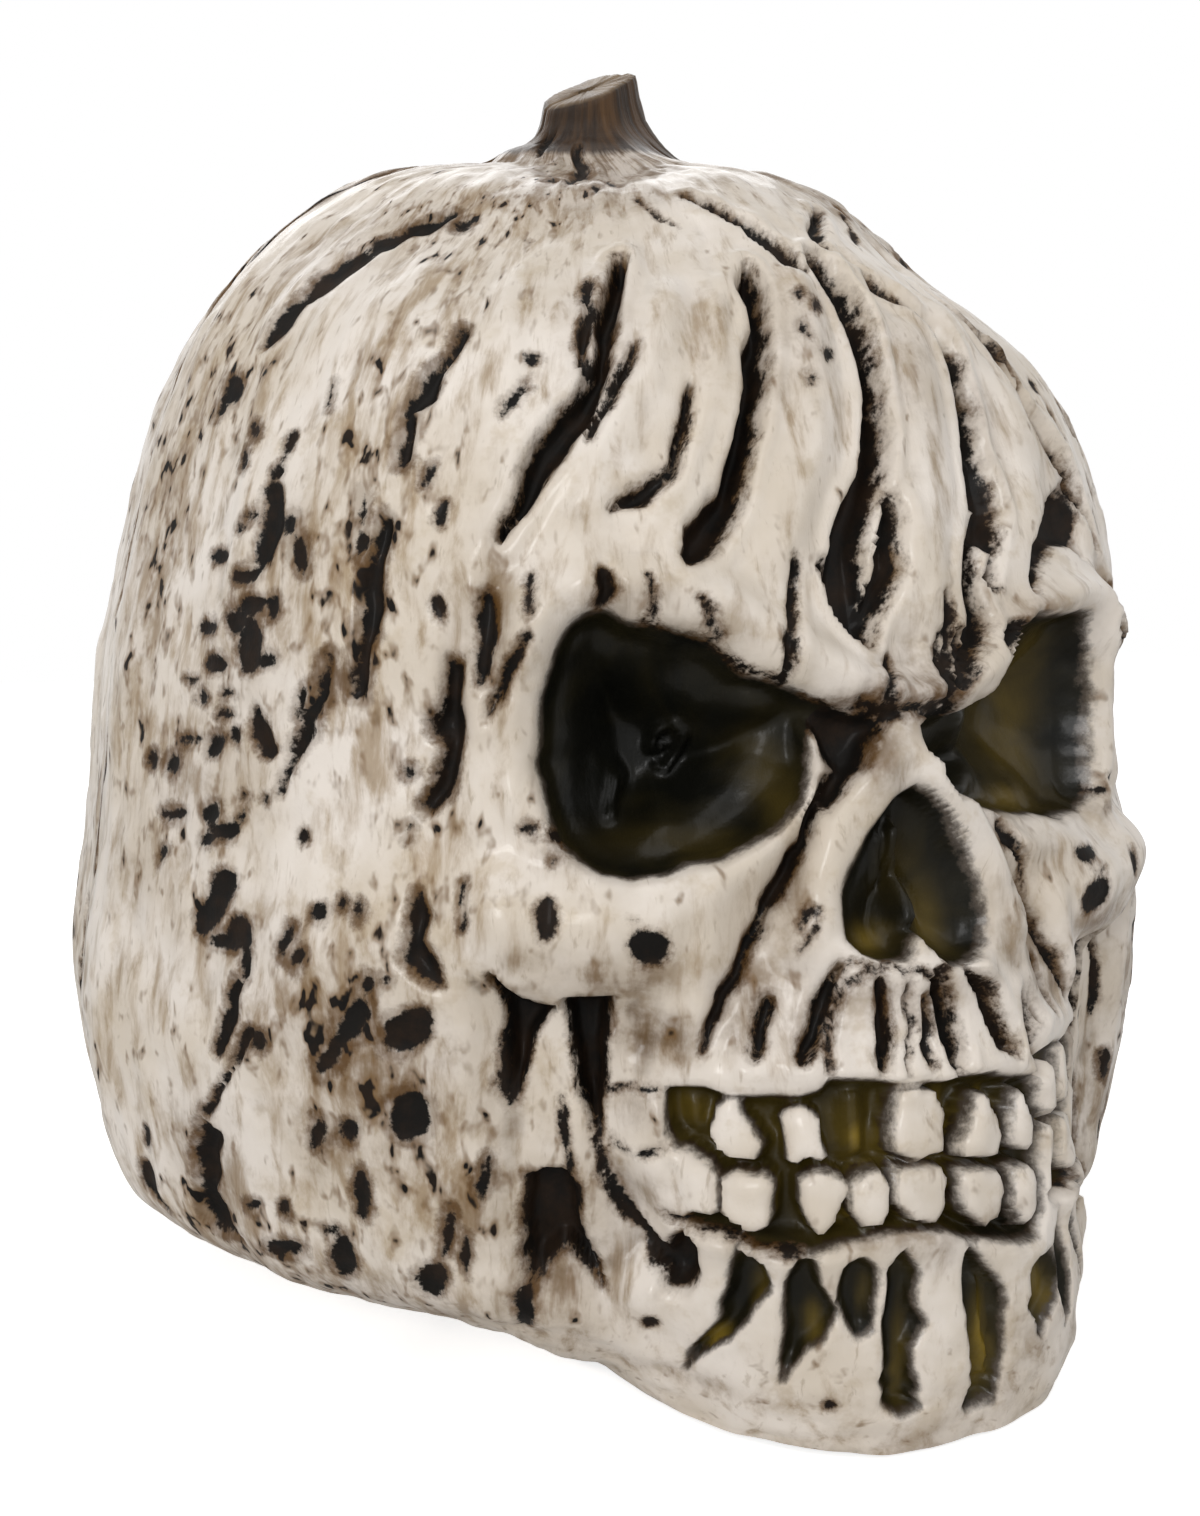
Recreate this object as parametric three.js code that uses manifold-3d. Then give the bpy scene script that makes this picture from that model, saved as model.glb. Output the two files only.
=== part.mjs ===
// Skull candle holder: a hollow pumpkin-shaped skull moulded as a front and a rear shell, on a screwed
// base plate with rubber feet. A battery candle is pushed up into the base plate's collar and lights the
// thin eye, nose and mouth windows from inside. Millimetres, +Z up, the face looks towards -Y.
import * as THREE from 'three';
import { mergeVertices } from 'three/addons/utils/BufferGeometryUtils.js';
import Module from 'manifold-3d';

const wasm = await Module();
wasm.setup();

// Driving sizes of the skull
const bodyRadius = 112;
const bodyHeight = 226;
const muzzleHeight = 124;
const muzzleHalfWidth = 50;
const muzzleReach = 125;
const muzzlePower = 2.5;
const muzzleShift = 4;
const muzzleShiftTop = 44;
const muzzleShiftFade = 36;
const muzzleBack = 60;
const muzzleBlend = 7;
const rimHeight = 1;
const shellWall = 2.6;
const seamGap = 0.3;
const seatGap = 0.3;
const cutOverrun = 5;

// Driving sizes of the base plate and of what is fastened to it
const footHeight = 6;
const plateThickness = 2.4;
const plateClearance = 0.6;
const collarBore = 40;
const collarWall = 2;
const collarHeight = 26;

// Driving sizes of the candle
const candleClearance = 0.6;
const housingHeight = 30.3;
const housingWall = 2;
const flangeRim = 6;
const flangeThickness = 2;
const cellRadius = 5.25;
const cellLength = 44.5;
const cellPitch = 12.1;
const sleeveRadius = 24;
const sleeveWall = 1.6;
const sleeveHeight = 60;
const flameHeight = 24;

const degree = Math.PI / 180;

// Colours and finishes
const finish = (color, roughness, metalness = 0) => new THREE.MeshStandardMaterial({ color, roughness, metalness });
const boneShell = finish(0xd8cfc2, 0.42);
const darkOlive = finish(0x3a3620, 0.3);
const blackPlastic = finish(0x23221f, 0.55);
const rubberBlack = finish(0x1b1b1a, 0.85);
const waxWhite = finish(0xe9dfc8, 0.6);
const flameAmber = finish(0xe0a850, 0.35);
const steel = finish(0xb9bcc0, 0.3, 1);
const boardGreen = finish(0x1f5c38, 0.5);
const cellJacket = finish(0x3f5f84, 0.4);
const lampClear = finish(0xf2e2b0, 0.15);
const wireRed = finish(0x9c2620, 0.5);
const wireBlack = finish(0x1c1c1c, 0.5);

// Solid helpers: every boolean works on closed meshes with merged vertices
function closedGeometry(geometry) {
  const plain = geometry.clone();
  plain.deleteAttribute('normal');
  plain.deleteAttribute('uv');
  const merged = mergeVertices(plain, 1e-4);
  const kept = [];
  const index = merged.index.array;
  for (let i = 0; i < index.length; i += 3) {
    const [a, b, c] = [index[i], index[i + 1], index[i + 2]];
    if (a !== b && b !== c && c !== a) kept.push(a, b, c);
  }
  merged.setIndex(kept);
  if (signedVolume(merged) < 0) {
    for (let i = 0; i < kept.length; i += 3) [kept[i], kept[i + 1]] = [kept[i + 1], kept[i]];
    merged.setIndex(kept);
  }
  return merged;
}

function signedVolume(geometry) {
  const at = geometry.attributes.position;
  const index = geometry.index.array;
  const corner = [new THREE.Vector3(), new THREE.Vector3(), new THREE.Vector3()];
  let sum = 0;
  for (let i = 0; i < index.length; i += 3) {
    corner.forEach((v, k) => v.fromBufferAttribute(at, index[i + k]));
    sum += corner[0].dot(corner[1].cross(corner[2])) / 6;
  }
  return sum;
}

function solid(geometry) {
  const closed = closedGeometry(geometry);
  return new wasm.Manifold(new wasm.Mesh({
    numProp: 3,
    vertProperties: new Float32Array(closed.attributes.position.array),
    triVerts: new Uint32Array(closed.index.array),
  }));
}

function geometryOf(manifold) {
  const mesh = manifold.getMesh();
  const geometry = new THREE.BufferGeometry();
  geometry.setAttribute('position', new THREE.BufferAttribute(new Float32Array(mesh.vertProperties), 3));
  geometry.setIndex(new THREE.BufferAttribute(new Uint32Array(mesh.triVerts), 1));
  return geometry;
}

const group = new THREE.Group();

function addPiece(name, shape, material) {
  const geometry = shape.isBufferGeometry ? closedGeometry(shape) : geometryOf(shape);
  geometry.computeVertexNormals();
  const mesh = new THREE.Mesh(geometry, material);
  mesh.name = name;
  group.add(mesh);
  return mesh;
}

function block(x0, x1, y0, y1, z0, z1) {
  const geometry = new THREE.BoxGeometry(x1 - x0, y1 - y0, z1 - z0);
  return geometry.translate((x0 + x1) / 2, (y0 + y1) / 2, (z0 + z1) / 2);
}

function rod(radius, z0, z1, x = 0, y = 0, sides = 20) {
  const geometry = new THREE.CylinderGeometry(radius, radius, z1 - z0, sides);
  return geometry.rotateX(90 * degree).translate(x, y, (z0 + z1) / 2);
}

function turned(profile, sides = 32) {
  const points = profile.map(([r, z]) => new THREE.Vector2(r, z));
  return new THREE.LatheGeometry(points, sides).rotateX(90 * degree);
}

function ringsToGeometry(rings, bottom, top) {
  // closed skin over rings of equal length, with one point under the first and one over the last
  const columns = rings[0].length;
  const points = rings.flat().concat([bottom, top]);
  const index = [];
  const bottomAt = rings.length * columns;
  for (let c = 0; c < columns; c++) {
    const n = (c + 1) % columns;
    for (let r = 0; r < rings.length - 1; r++) {
      const [a, b] = [r * columns + c, r * columns + n];
      const [d, e] = [a + columns, b + columns];
      index.push(a, b, e, a, e, d);
    }
    const last = (rings.length - 1) * columns;
    index.push(bottomAt, n, c, bottomAt + 1, last + c, last + n);
  }
  const geometry = new THREE.BufferGeometry();
  geometry.setAttribute('position', new THREE.Float32BufferAttribute(points.flat(), 3));
  geometry.setIndex(index);
  return geometry;
}

// Form of the skull, as a radius about the upright axis for each azimuth (0 is the face) and height
const clamp01 = (t) => Math.min(1, Math.max(0, t));
const smooth = (t) => clamp01(t) ** 2 * (3 - 2 * clamp01(t));
const bell = (value, middle, spread) => Math.exp(-(((value - middle) / spread) ** 2));

function readShares(table, share, column) {
  const last = table.length - 1;
  if (share <= table[0][0]) return table[0][column];
  for (let i = 0; i < last; i++) {
    if (share <= table[i + 1][0]) {
      const t = (share - table[i][0]) / (table[i + 1][0] - table[i][0]);
      return table[i][column] + t * (table[i + 1][column] - table[i][column]);
    }
  }
  return table[last][column];
}

// The underside curves in to a ring that leaves room for the candle's collar, the bosses and the feet
const rimRoom = 25;
const rimRadius = collarBore + rimRoom;
const undersideShares = [[0, 0], [0.02, 0.284], [0.05, 0.619], [0.075, 0.825], [0.1, 0.941], [0.14, 1]];
const bodyProfileShares = [
  [0.14, 0.968], [0.2, 0.987], [0.26, 1],
  [0.31, 0.991], [0.36, 0.973], [0.425, 0.955], [0.49, 0.942], [0.56, 0.924], [0.615, 0.897],
  [0.67, 0.87], [0.725, 0.84], [0.765, 0.812], [0.805, 0.777], [0.85, 0.728], [0.89, 0.668],
  [0.925, 0.603], [0.951, 0.531], [0.969, 0.464], [0.982, 0.393], [0.991, 0.295], [0.998, 0.152], [1, 0],
];
// height share, half width share, reach share
const muzzleShares = [
  [0, 0.84, 0.992], [0.065, 0.92, 1.006], [0.16, 0.98, 1.006], [0.28, 1, 0.996], [0.4, 0.96, 0.988],
  [0.48, 0.9, 0.976], [0.58, 0.8, 0.952], [0.66, 0.68, 0.932], [0.77, 0.5, 0.908], [0.855, 0.38, 0.888],
  [0.935, 0.28, 0.86], [1, 0.2, 0.824],
];

function bodyRadiusAt(share) {
  const plain = bodyRadius * readShares(bodyProfileShares, share, 1);
  return rimRadius + (plain - rimRadius) * readShares(undersideShares, share, 1);
}

function muzzleRadius(azimuth, z) {
  const halfWidth = muzzleHalfWidth * readShares(muzzleShares, z / muzzleHeight, 1);
  const reach = muzzleReach * readShares(muzzleShares, z / muzzleHeight, 2);
  const shift = muzzleShift * smooth((muzzleShiftTop - z) / muzzleShiftFade);
  if (Math.cos(azimuth) < 0.2 || z > muzzleHeight) return 0;
  let [low, high] = [0, muzzleReach + muzzleShift];
  for (let step = 0; step < 24; step++) {
    const middle = (low + high) / 2;
    const across = Math.abs(middle * Math.sin(azimuth) - shift) / halfWidth;
    const ahead = Math.max(0, middle * Math.cos(azimuth) - muzzleBack) / (reach - muzzleBack);
    if (across ** muzzlePower + ahead ** muzzlePower < 1) low = middle;
    else high = middle;
  }
  return (low + high) / 2;
}

const browSwell = 5.5;
const crownFlat = 10;
const cheekSwell = 3;
const jawRoot = 16;
const jawRootTurn = 26;
const jawRootFade = 18;
const jawRootTop = 22;
const ribSwell = 1.8;
const ribCount = 13;

// jaw is how much of the form there belongs to the muzzle, from 0 to 1
function formParts(azimuth, z) {
  const turn = Math.abs(azimuth) / degree;
  const share = z / bodyHeight;
  const front = 1 / (1 + Math.exp((turn - 78) / 7));
  let radius = bodyRadiusAt(share);
  radius += front * browSwell * bell(turn, 45, 24) * bell(share, 0.66, 0.15);
  radius -= front * crownFlat * bell(turn, 40, 28) * bell(share, 0.895, 0.07);
  radius += cheekSwell * bell(turn, 42, 16) * bell(share, 0.354, 0.062);
  radius += (1 - front) * ribSwell * Math.cos(ribCount * azimuth) * Math.min(1, 4 * (1 - share));
  radius += jawRoot * (1 - smooth((turn - jawRootTurn) / jawRootFade)) * (1 - smooth(z / jawRootTop));
  const muzzle = muzzleRadius(azimuth, z);
  const mix = clamp01(0.5 + (0.5 * (radius - muzzle)) / muzzleBlend);
  return { radius: radius * mix + muzzle * (1 - mix) + muzzleBlend * mix * (1 - mix), jaw: 1 - mix };
}

const formRadius = (azimuth, z) => formParts(azimuth, z).radius;

// The crown sinks towards the stem, less behind the temples than over the face
const crownSink = 5.5;
const crownSinkStart = 0.8;
const crownSinkSpan = 0.18;
const shoulderRise = 3.8;
const shoulderTurn = 80;
const shoulderBlend = 6;
const crownTop = bodyHeight - crownSink;

function sunken(azimuth, radius, z) {
  const behind = 1 / (1 + Math.exp((shoulderTurn - Math.abs(azimuth) / degree) / shoulderBlend));
  const shoulder = shoulderRise * behind * smooth(radius / (0.45 * bodyRadius));
  return z - smooth((z / bodyHeight - crownSinkStart) / crownSinkSpan) * (crownSink - shoulder);
}

// Relief of the face. Outlines are shares of half the face's width and of the body's height.
const faceHalfWidth = 60;
const socketDepth = 8;
const socketEdge = 5;
const socketBowl = 10;
const noseDepth = 6;
const noseEdge = 4;
const noseBowl = 5;
const bowlReach = 16;
const cheekboneSwell = 5;
const hollowDepth = 6.5;
const hollowEdge = 8;
const browHeight = 4.5;
const browSpread = 8;
const furrowDepth = 3.4;
const furrowSpread = 3.6;
const grooveDepth = 4;
const grooveSpread = 3.6;
const mouthDepth = 5;
const mouthEdge = 3;
const toothHeight = 4;
const toothEdge = 2.2;
const slotDepth = 4;
const slotSpread = 3;

const socketShares = [
  [0.23, 0.505], [0.27, 0.53], [0.5, 0.562], [0.72, 0.59], [0.9, 0.585], [0.95, 0.5], [0.92, 0.445],
  [0.82, 0.415], [0.62, 0.415], [0.4, 0.445], [0.26, 0.475],
];
const noseShares = [
  [0, 0.468], [0.1, 0.45], [0.19, 0.41], [0.22, 0.37], [0.19, 0.352], [0.1, 0.352], [0, 0.37],
  [-0.1, 0.352], [-0.19, 0.352], [-0.22, 0.37], [-0.19, 0.41], [-0.1, 0.45],
];
const hollowShares = [
  [1.08, 0.325], [0.8, 0.318], [0.72, 0.29], [0.76, 0.22], [0.74, 0.15], [0.82, 0.095], [0.97, 0.11],
  [1.04, 0.19], [1.07, 0.25],
];
const mouthShares = [
  [-0.69, 0.265], [-0.4, 0.266], [0, 0.264], [0.4, 0.266], [0.69, 0.265], [0.66, 0.2], [0.4, 0.155],
  [0, 0.163], [-0.4, 0.155], [-0.66, 0.2],
];
const strutShares = [[0.97, 0.325], [0.93, 0.25], [0.86, 0.18]];
const browShares = [[0.14, 0.545], [0.45, 0.585], [0.75, 0.615], [1.0, 0.605]];
const cheekboneShares = [[0.66, 0.355], [0.92, 0.35], [1.15, 0.375]];
const buttressShares = [[0.21, 0.46], [0.42, 0.372], [0.6, 0.283]];
// each furrow and slot runs on both sides unless it is the middle one
const furrowShares = [
  [[0.25, 0.836], [0.33, 0.72], [0.53, 0.63]],
  [[0.57, 0.845], [0.68, 0.78], [0.83, 0.71], [1.0, 0.64]],
];
const middleFurrowShares = [[0.02, 0.855], [0.08, 0.74], [-0.08, 0.6]];
const rootShares = [[-0.5, 0.31], [-0.33, 0.312], [-0.18, 0.315], [-0.03, 0.315], [0.18, 0.315], [0.34, 0.31], [0.5, 0.31]];
const rootReachShare = 0.034;
const jawShares = [[-0.58, 0.105], [-0.4, 0.105], [-0.15, 0.095], [0.07, 0.09], [0.26, 0.1], [0.42, 0.105], [0.58, 0.105]];
const jawReachShare = 0.048;
// tooth middle, half width, as shares of half the face's width
const upperToothShares = [
  [-0.55, 0.055], [-0.41, 0.045], [-0.11, 0.075], [0.12, 0.06], [0.28, 0.05], [0.42, 0.05], [0.56, 0.055],
];
const lowerToothShares = [
  [-0.62, 0.06], [-0.5, 0.06], [-0.37, 0.055], [-0.24, 0.05], [-0.1, 0.075], [0.11, 0.075], [0.27, 0.055], [0.42, 0.06], [0.58, 0.06],
];
const upperRowShare = 0.238;
const lowerRowShare = 0.192;
const toothReachShare = 0.019;

const facePoint = ([across, up]) => [across * faceHalfWidth, up * bodyHeight];

function segmentDistance(x, z, [x0, z0], [x1, z1]) {
  const [dx, dz] = [x1 - x0, z1 - z0];
  const t = clamp01(((x - x0) * dx + (z - z0) * dz) / (dx * dx + dz * dz));
  return Math.hypot(x - x0 - t * dx, z - z0 - t * dz);
}

function lineDistance(x, z, shares) {
  const points = shares.map(facePoint);
  let nearest = Infinity;
  for (let i = 0; i < points.length - 1; i++) {
    nearest = Math.min(nearest, segmentDistance(x, z, points[i], points[i + 1]));
  }
  return nearest;
}

function insideDistance(x, z, shares) {
  // positive inside the outline, negative outside
  const points = shares.map(facePoint);
  let inside = false;
  let nearest = Infinity;
  points.forEach((p, i) => {
    const q = points[(i + 1) % points.length];
    nearest = Math.min(nearest, segmentDistance(x, z, p, q));
    const crosses = p[1] > z !== q[1] > z && x < ((q[0] - p[0]) * (z - p[1])) / (q[1] - p[1]) + p[0];
    if (crosses) inside = !inside;
  });
  return inside ? nearest : -nearest;
}

const pit = (distance, edge) => smooth(0.5 + distance / edge);
const bowl = (distance, depth) => depth * smooth(distance / bowlReach);
const ridge = (distance, spread) => Math.exp(-((distance / spread) ** 2));

function toothRelief(x, z, shares, rowShare) {
  let best = 0;
  for (const [middle, half] of shares) {
    const across = half * faceHalfWidth - Math.abs(x - middle * faceHalfWidth);
    const up = toothReachShare * bodyHeight - Math.abs(z - rowShare * bodyHeight);
    best = Math.max(best, smooth(0.5 + Math.min(across, up) / toothEdge));
  }
  return best * toothHeight;
}

function slotRelief(x, z, shares, reachShare) {
  let deepest = 0;
  for (const [across, up] of shares) {
    const ends = [[across, up - reachShare], [across, up + reachShare]];
    deepest = Math.max(deepest, ridge(lineDistance(x, z, ends), slotSpread));
  }
  return deepest * slotDepth;
}

// Near the rim the skin stays plain, so that the base plate has an even seat
const plainBand = 8;
const plainFade = 7;
const aboveRim = (z) => smooth((z - rimHeight - plainBand) / plainFade);

function outerRelief(azimuth, z, radius) {
  if (Math.abs(azimuth) > 75 * degree) return 0;
  const x = radius * Math.sin(azimuth);
  const side = Math.abs(x);
  let relief = browHeight * ridge(lineDistance(side, z, browShares), browSpread);
  relief += cheekboneSwell * ridge(lineDistance(side, z, cheekboneShares), browSpread);
  const inSocket = insideDistance(side, z, socketShares);
  const inNose = insideDistance(x, z, noseShares);
  relief -= socketDepth * pit(inSocket, socketEdge) + bowl(inSocket, socketBowl);
  relief -= noseDepth * pit(inNose, noseEdge) + bowl(inNose, noseBowl);
  relief -= hollowDepth * pit(insideDistance(side, z, hollowShares), hollowEdge);
  relief += hollowDepth * 0.7 * ridge(lineDistance(side, z, strutShares), grooveSpread);
  relief -= grooveDepth * ridge(lineDistance(side, z, buttressShares), grooveSpread);
  const inMouth = pit(insideDistance(x, z, mouthShares), mouthEdge);
  const teeth = toothRelief(x, z, upperToothShares, upperRowShare) + toothRelief(x, z, lowerToothShares, lowerRowShare);
  relief -= inMouth * (mouthDepth - Math.min(teeth, toothHeight));
  relief -= slotRelief(x, z, rootShares, rootReachShare);
  relief -= slotRelief(x, z, jawShares, jawReachShare);
  furrowShares.forEach((line) => { relief -= furrowDepth * ridge(lineDistance(side, z, line), furrowSpread); });
  relief -= furrowDepth * ridge(lineDistance(x, z, middleFurrowShares), furrowSpread);
  return relief * aboveRim(z);
}

// The inner skin follows only the deep recesses, spread by a margin so that the wall stays whole
const innerMargin = 7;
const innerSpread = 12;

function innerRelief(azimuth, z, radius) {
  if (Math.abs(azimuth) > 80 * degree) return 0;
  const x = radius * Math.sin(azimuth);
  const side = Math.abs(x);
  const spreadPit = (distance) => smooth((distance + innerMargin + innerSpread / 2) / innerSpread);
  const recesses = [
    (socketDepth + socketBowl + seatGap) * spreadPit(insideDistance(side, z, socketShares)),
    (noseDepth + noseBowl + seatGap) * spreadPit(insideDistance(x, z, noseShares)),
    (hollowDepth + seatGap) * spreadPit(insideDistance(side, z, hollowShares)),
    (mouthDepth + slotDepth) * spreadPit(insideDistance(x, z, mouthShares)),
    (furrowDepth + grooveDepth) * smooth((75 * degree - Math.abs(azimuth)) / (10 * degree)),
  ];
  return -Math.max(...recesses) * aboveRim(z - plainFade / 2);
}

// Rows of the skin: even heights over the face, then even steps of arc over the crown
const faceTopShare = 0.62;

function profileRows(faceRows, crownRows) {
  const rimShare = rimHeight / bodyHeight;
  const rows = [];
  for (let i = 0; i < faceRows; i++) rows.push(rimShare + ((faceTopShare - rimShare) * i) / faceRows);
  const table = [];
  let length = 0;
  for (let i = 0; i <= 400; i++) {
    const share = faceTopShare + ((1 - faceTopShare) * i) / 400;
    const point = [bodyRadiusAt(share), bodyHeight * share];
    if (i > 0) length += Math.hypot(point[0] - table[i - 1].point[0], point[1] - table[i - 1].point[1]);
    table.push({ share, point, length });
  }
  for (let i = 0; i < crownRows; i++) {
    const wanted = (length * i) / crownRows;
    rows.push(table.find((entry) => entry.length >= wanted).share);
  }
  return rows;
}

// Columns of the skin: close together over the teeth, wider to the temples, the seam and the back
const columnTurns = [0, 28, 48, 90, 180].map((turn) => turn * degree);

function skinColumns(counts) {
  const half = [];
  counts.forEach((count, k) => {
    const [from, to] = [columnTurns[k], columnTurns[k + 1]];
    for (let i = 0; i < count; i++) half.push(from + ((to - from) * i) / count);
  });
  const mirrored = half.slice(1).map((turn) => -turn).reverse();
  return [...mirrored, ...half, columnTurns[4]];
}

function profileNormal(share) {
  const step = 0.004;
  const [low, high] = [Math.max(0, share - step), Math.min(1, share + step)];
  const rise = bodyHeight * (high - low);
  const widen = bodyRadiusAt(high) - bodyRadiusAt(low);
  const size = Math.hypot(rise, widen);
  return [rise / size, -widen / size];
}

const skinPoint = (azimuth, radius, z) => [radius * Math.sin(azimuth), -radius * Math.cos(azimuth), z];

function outerSkin() {
  const columns = skinColumns([14, 4, 4, 13]);
  const rows = profileRows(32, 10);
  const rings = rows.map((share) => columns.map((azimuth) => {
    const z = share * bodyHeight;
    const form = formRadius(azimuth, z);
    return skinPoint(azimuth, form + outerRelief(azimuth, z, form), sunken(azimuth, form, z));
  }));
  return ringsToGeometry(rings, [0, 0, rimHeight], [0, 0, crownTop]);
}

const innerRowCounts = [14, 7];

function innerSkin() {
  const columns = skinColumns([6, 4, 4, 6]);
  const rows = profileRows(...innerRowCounts);
  const rings = rows.map((share) => columns.map((azimuth) => {
    const z = share * bodyHeight;
    const { radius: form, jaw } = formParts(azimuth, z);
    const [outward, upward] = profileNormal(share);
    const inward = shellWall * (outward + (1 - outward) * jaw);
    const radius = form - inward + innerRelief(azimuth, z, form);
    return skinPoint(azimuth, radius, sunken(azimuth, form, z) - shellWall * upward * (1 - jaw));
  }));
  const mouth = rings[0].map(([x, y]) => [x, y, -cutOverrun]);
  return ringsToGeometry([mouth, ...rings], [0, 0, -cutOverrun], [0, 0, crownTop - shellWall]);
}

// Stem: a short pumpkin stalk with a slanted cut, moulded with the crown
const stemRadius = 9.2;
const stemRise = 17.8;
const stemSlant = 5.5;
const stemLean = 2.9;
const stemRootDepth = 8;
const stemFlare = 20.4;

function stemSkin() {
  const sides = 28;
  const levels = [0, 0.2, 0.35, 0.5, 0.65, 0.82, 1];
  const rings = levels.map((level) => Array.from({ length: sides }, (unused, i) => {
    const turn = (360 * degree * i) / sides;
    const flare = stemFlare * (1 - level) ** 2;
    const radius = (stemRadius + flare) * (1 + 0.06 * Math.cos(5 * turn));
    const x = radius * Math.cos(turn) - stemLean;
    const top = crownTop + stemRise + stemSlant * (0.5 + 0.5 * Math.cos(turn));
    const bottom = crownTop - stemRootDepth;
    return [x, radius * Math.sin(turn), bottom + (top - bottom) * level];
  }));
  const middle = crownTop + stemRise + stemSlant / 2;
  return ringsToGeometry(rings, [-stemLean, 0, crownTop - stemRootDepth], [-stemLean, 0, middle]);
}

// Base plate seat: screw bosses inside the shells, each with a rib that runs out into the wall
const plateEdge = formRadius(90 * degree, rimHeight) - shellWall - plateClearance;
const collarEdge = collarBore + collarWall;
const bossRadius = 4.6;
const bossCircle = (collarEdge + plateEdge) / 2;
const bossRise = 18;
const bossRib = 3;
const screwShank = 1.5;
const screwBore = 1.8;
const bossTurns = [-62, 62, 118, -118].map((turn) => turn * degree);
const plateBottom = footHeight;
const plateTop = plateBottom + plateThickness;
const bossBottom = plateTop + seatGap;
const onCircle = (turn, radius) => [radius * Math.sin(turn), -radius * Math.cos(turn)];

function bossWithRib(turn) {
  const [x, y] = onCircle(turn, bossCircle);
  const top = bossBottom + bossRise;
  const rib = block(-bossRib / 2, bossRib / 2, -bodyRadius - cutOverrun, -bossCircle, bossBottom, top);
  rib.rotateZ(turn);
  return solid(rod(bossRadius, bossBottom, top, x, y)).add(solid(rib));
}

const bossBoreCut = (turn) => {
  const [x, y] = onCircle(turn, bossCircle);
  return solid(rod(screwBore, bossBottom - cutOverrun, bossBottom + bossRise * 0.8, x, y, 16));
};

// Tongue: a strip inside the rear shell's edge that laps behind the front shell and lines the halves up
const tongueLap = 5;
const tongueThickness = 1.8;
const tongueClearance = 0.8;
const tongueRoot = 7;

function tongueStrip() {
  const rows = profileRows(...innerRowCounts).slice(1);
  const path = [];
  const pathPoint = (share, side) => {
    const z = share * bodyHeight;
    const form = formRadius(90 * degree, z);
    const [outward, upward] = profileNormal(share);
    const lapTurn = 90 * degree - Math.atan2(tongueLap, form);
    const at = (depth, turn) => [side * (form - depth * outward), sunken(turn, form, z) - depth * upward];
    const lapDepth = shellWall + tongueClearance;
    return { face: at(lapDepth, lapTurn), back: at(lapDepth + tongueThickness, lapTurn), root: at(shellWall * 0.6, 90 * degree) };
  };
  rows.forEach((share) => path.push(pathPoint(share, 1)));
  const crown = crownTop - shellWall;
  path.push({ face: [0, crown - tongueClearance], back: [0, crown - tongueClearance - tongueThickness], root: [0, crown + shellWall * 0.4] });
  [...rows].reverse().forEach((share) => path.push(pathPoint(share, -1)));
  const rings = path.map(({ face, back, root }) => [
    [face[0], -tongueLap, face[1]], [face[0], seamGap, face[1]], [root[0], seamGap + tongueClearance, root[1]],
    [root[0], tongueRoot, root[1]], [back[0], tongueRoot, back[1]], [back[0], -tongueLap, back[1]],
  ]);
  const middleOf = (ring) => [0, 1, 2].map((k) => ring.reduce((sum, p) => sum + p[k], 0) / ring.length);
  return ringsToGeometry(rings, middleOf(rings[0]), middleOf(rings[rings.length - 1]));
}

function makeShells() {
  const outer = solid(outerSkin()).add(solid(stemSkin()));
  let hollow = outer.subtract(solid(innerSkin()));
  bossTurns.forEach((turn) => { hollow = hollow.add(bossWithRib(turn).intersect(outer)); });
  bossTurns.forEach((turn) => { hollow = hollow.subtract(bossBoreCut(turn)); });
  const reach = bodyRadius + muzzleReach;
  const top = bodyHeight * 2;
  const frontHalf = solid(block(-reach, reach, -reach, -seamGap / 2, -cutOverrun, top));
  const rearHalf = solid(block(-reach, reach, seamGap / 2, reach, -cutOverrun, top));
  const front = hollow.intersect(frontHalf);
  const rear = hollow.intersect(rearHalf).add(solid(tongueStrip()).intersect(outer));
  return [front, rear];
}

// Base plate: follows the rim from inside, with the collar that takes the candle
const fingerWall = 3;
const fingerRadius = (plateEdge - collarEdge) / 2 - fingerWall;
const fingerOffset = (collarEdge + plateEdge) / 2;
const flangeEdge = collarBore - candleClearance + flangeRim;
const footPeg = 2;
const footCircle = (flangeEdge + plateEdge) / 2;
const footTurns = [-32, 32, 140, -140].map((turn) => turn * degree);
const footRadius = 5.8;
const footPegRise = 3.4;

function holeAt(x, y, radius) {
  return new THREE.Path().absarc(x, y, radius, 0, 360 * degree, true);
}

function basePlate() {
  const outline = Array.from({ length: 72 }, (unused, i) => {
    const azimuth = 5 * degree * i;
    const [x, y] = onCircle(azimuth, formRadius(azimuth, rimHeight) - shellWall - plateClearance);
    return new THREE.Vector2(x, y);
  });
  const shape = new THREE.Shape(outline);
  shape.holes.push(holeAt(0, 0, collarBore));
  bossTurns.forEach((turn) => shape.holes.push(holeAt(...onCircle(turn, bossCircle), screwBore)));
  footTurns.forEach((turn) => shape.holes.push(holeAt(...onCircle(turn, footCircle), footPeg + seatGap)));
  [-fingerOffset, fingerOffset].forEach((x) => shape.holes.push(holeAt(x, 0, fingerRadius)));
  const plate = new THREE.ExtrudeGeometry(shape, { depth: plateThickness, bevelEnabled: false, curveSegments: 8 });
  plate.translate(0, 0, plateBottom);
  const collarTop = plateBottom + collarHeight;
  const collar = turned([
    [collarBore, plateBottom], [collarBore + collarWall, plateBottom], [collarBore + collarWall, collarTop],
    [collarBore, collarTop], [collarBore, plateBottom],
  ], 40);
  return solid(plate).add(solid(collar)).subtract(solid(rod(collarBore, plateBottom - cutOverrun, collarTop + cutOverrun, 0, 0, 40)));
}

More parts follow.
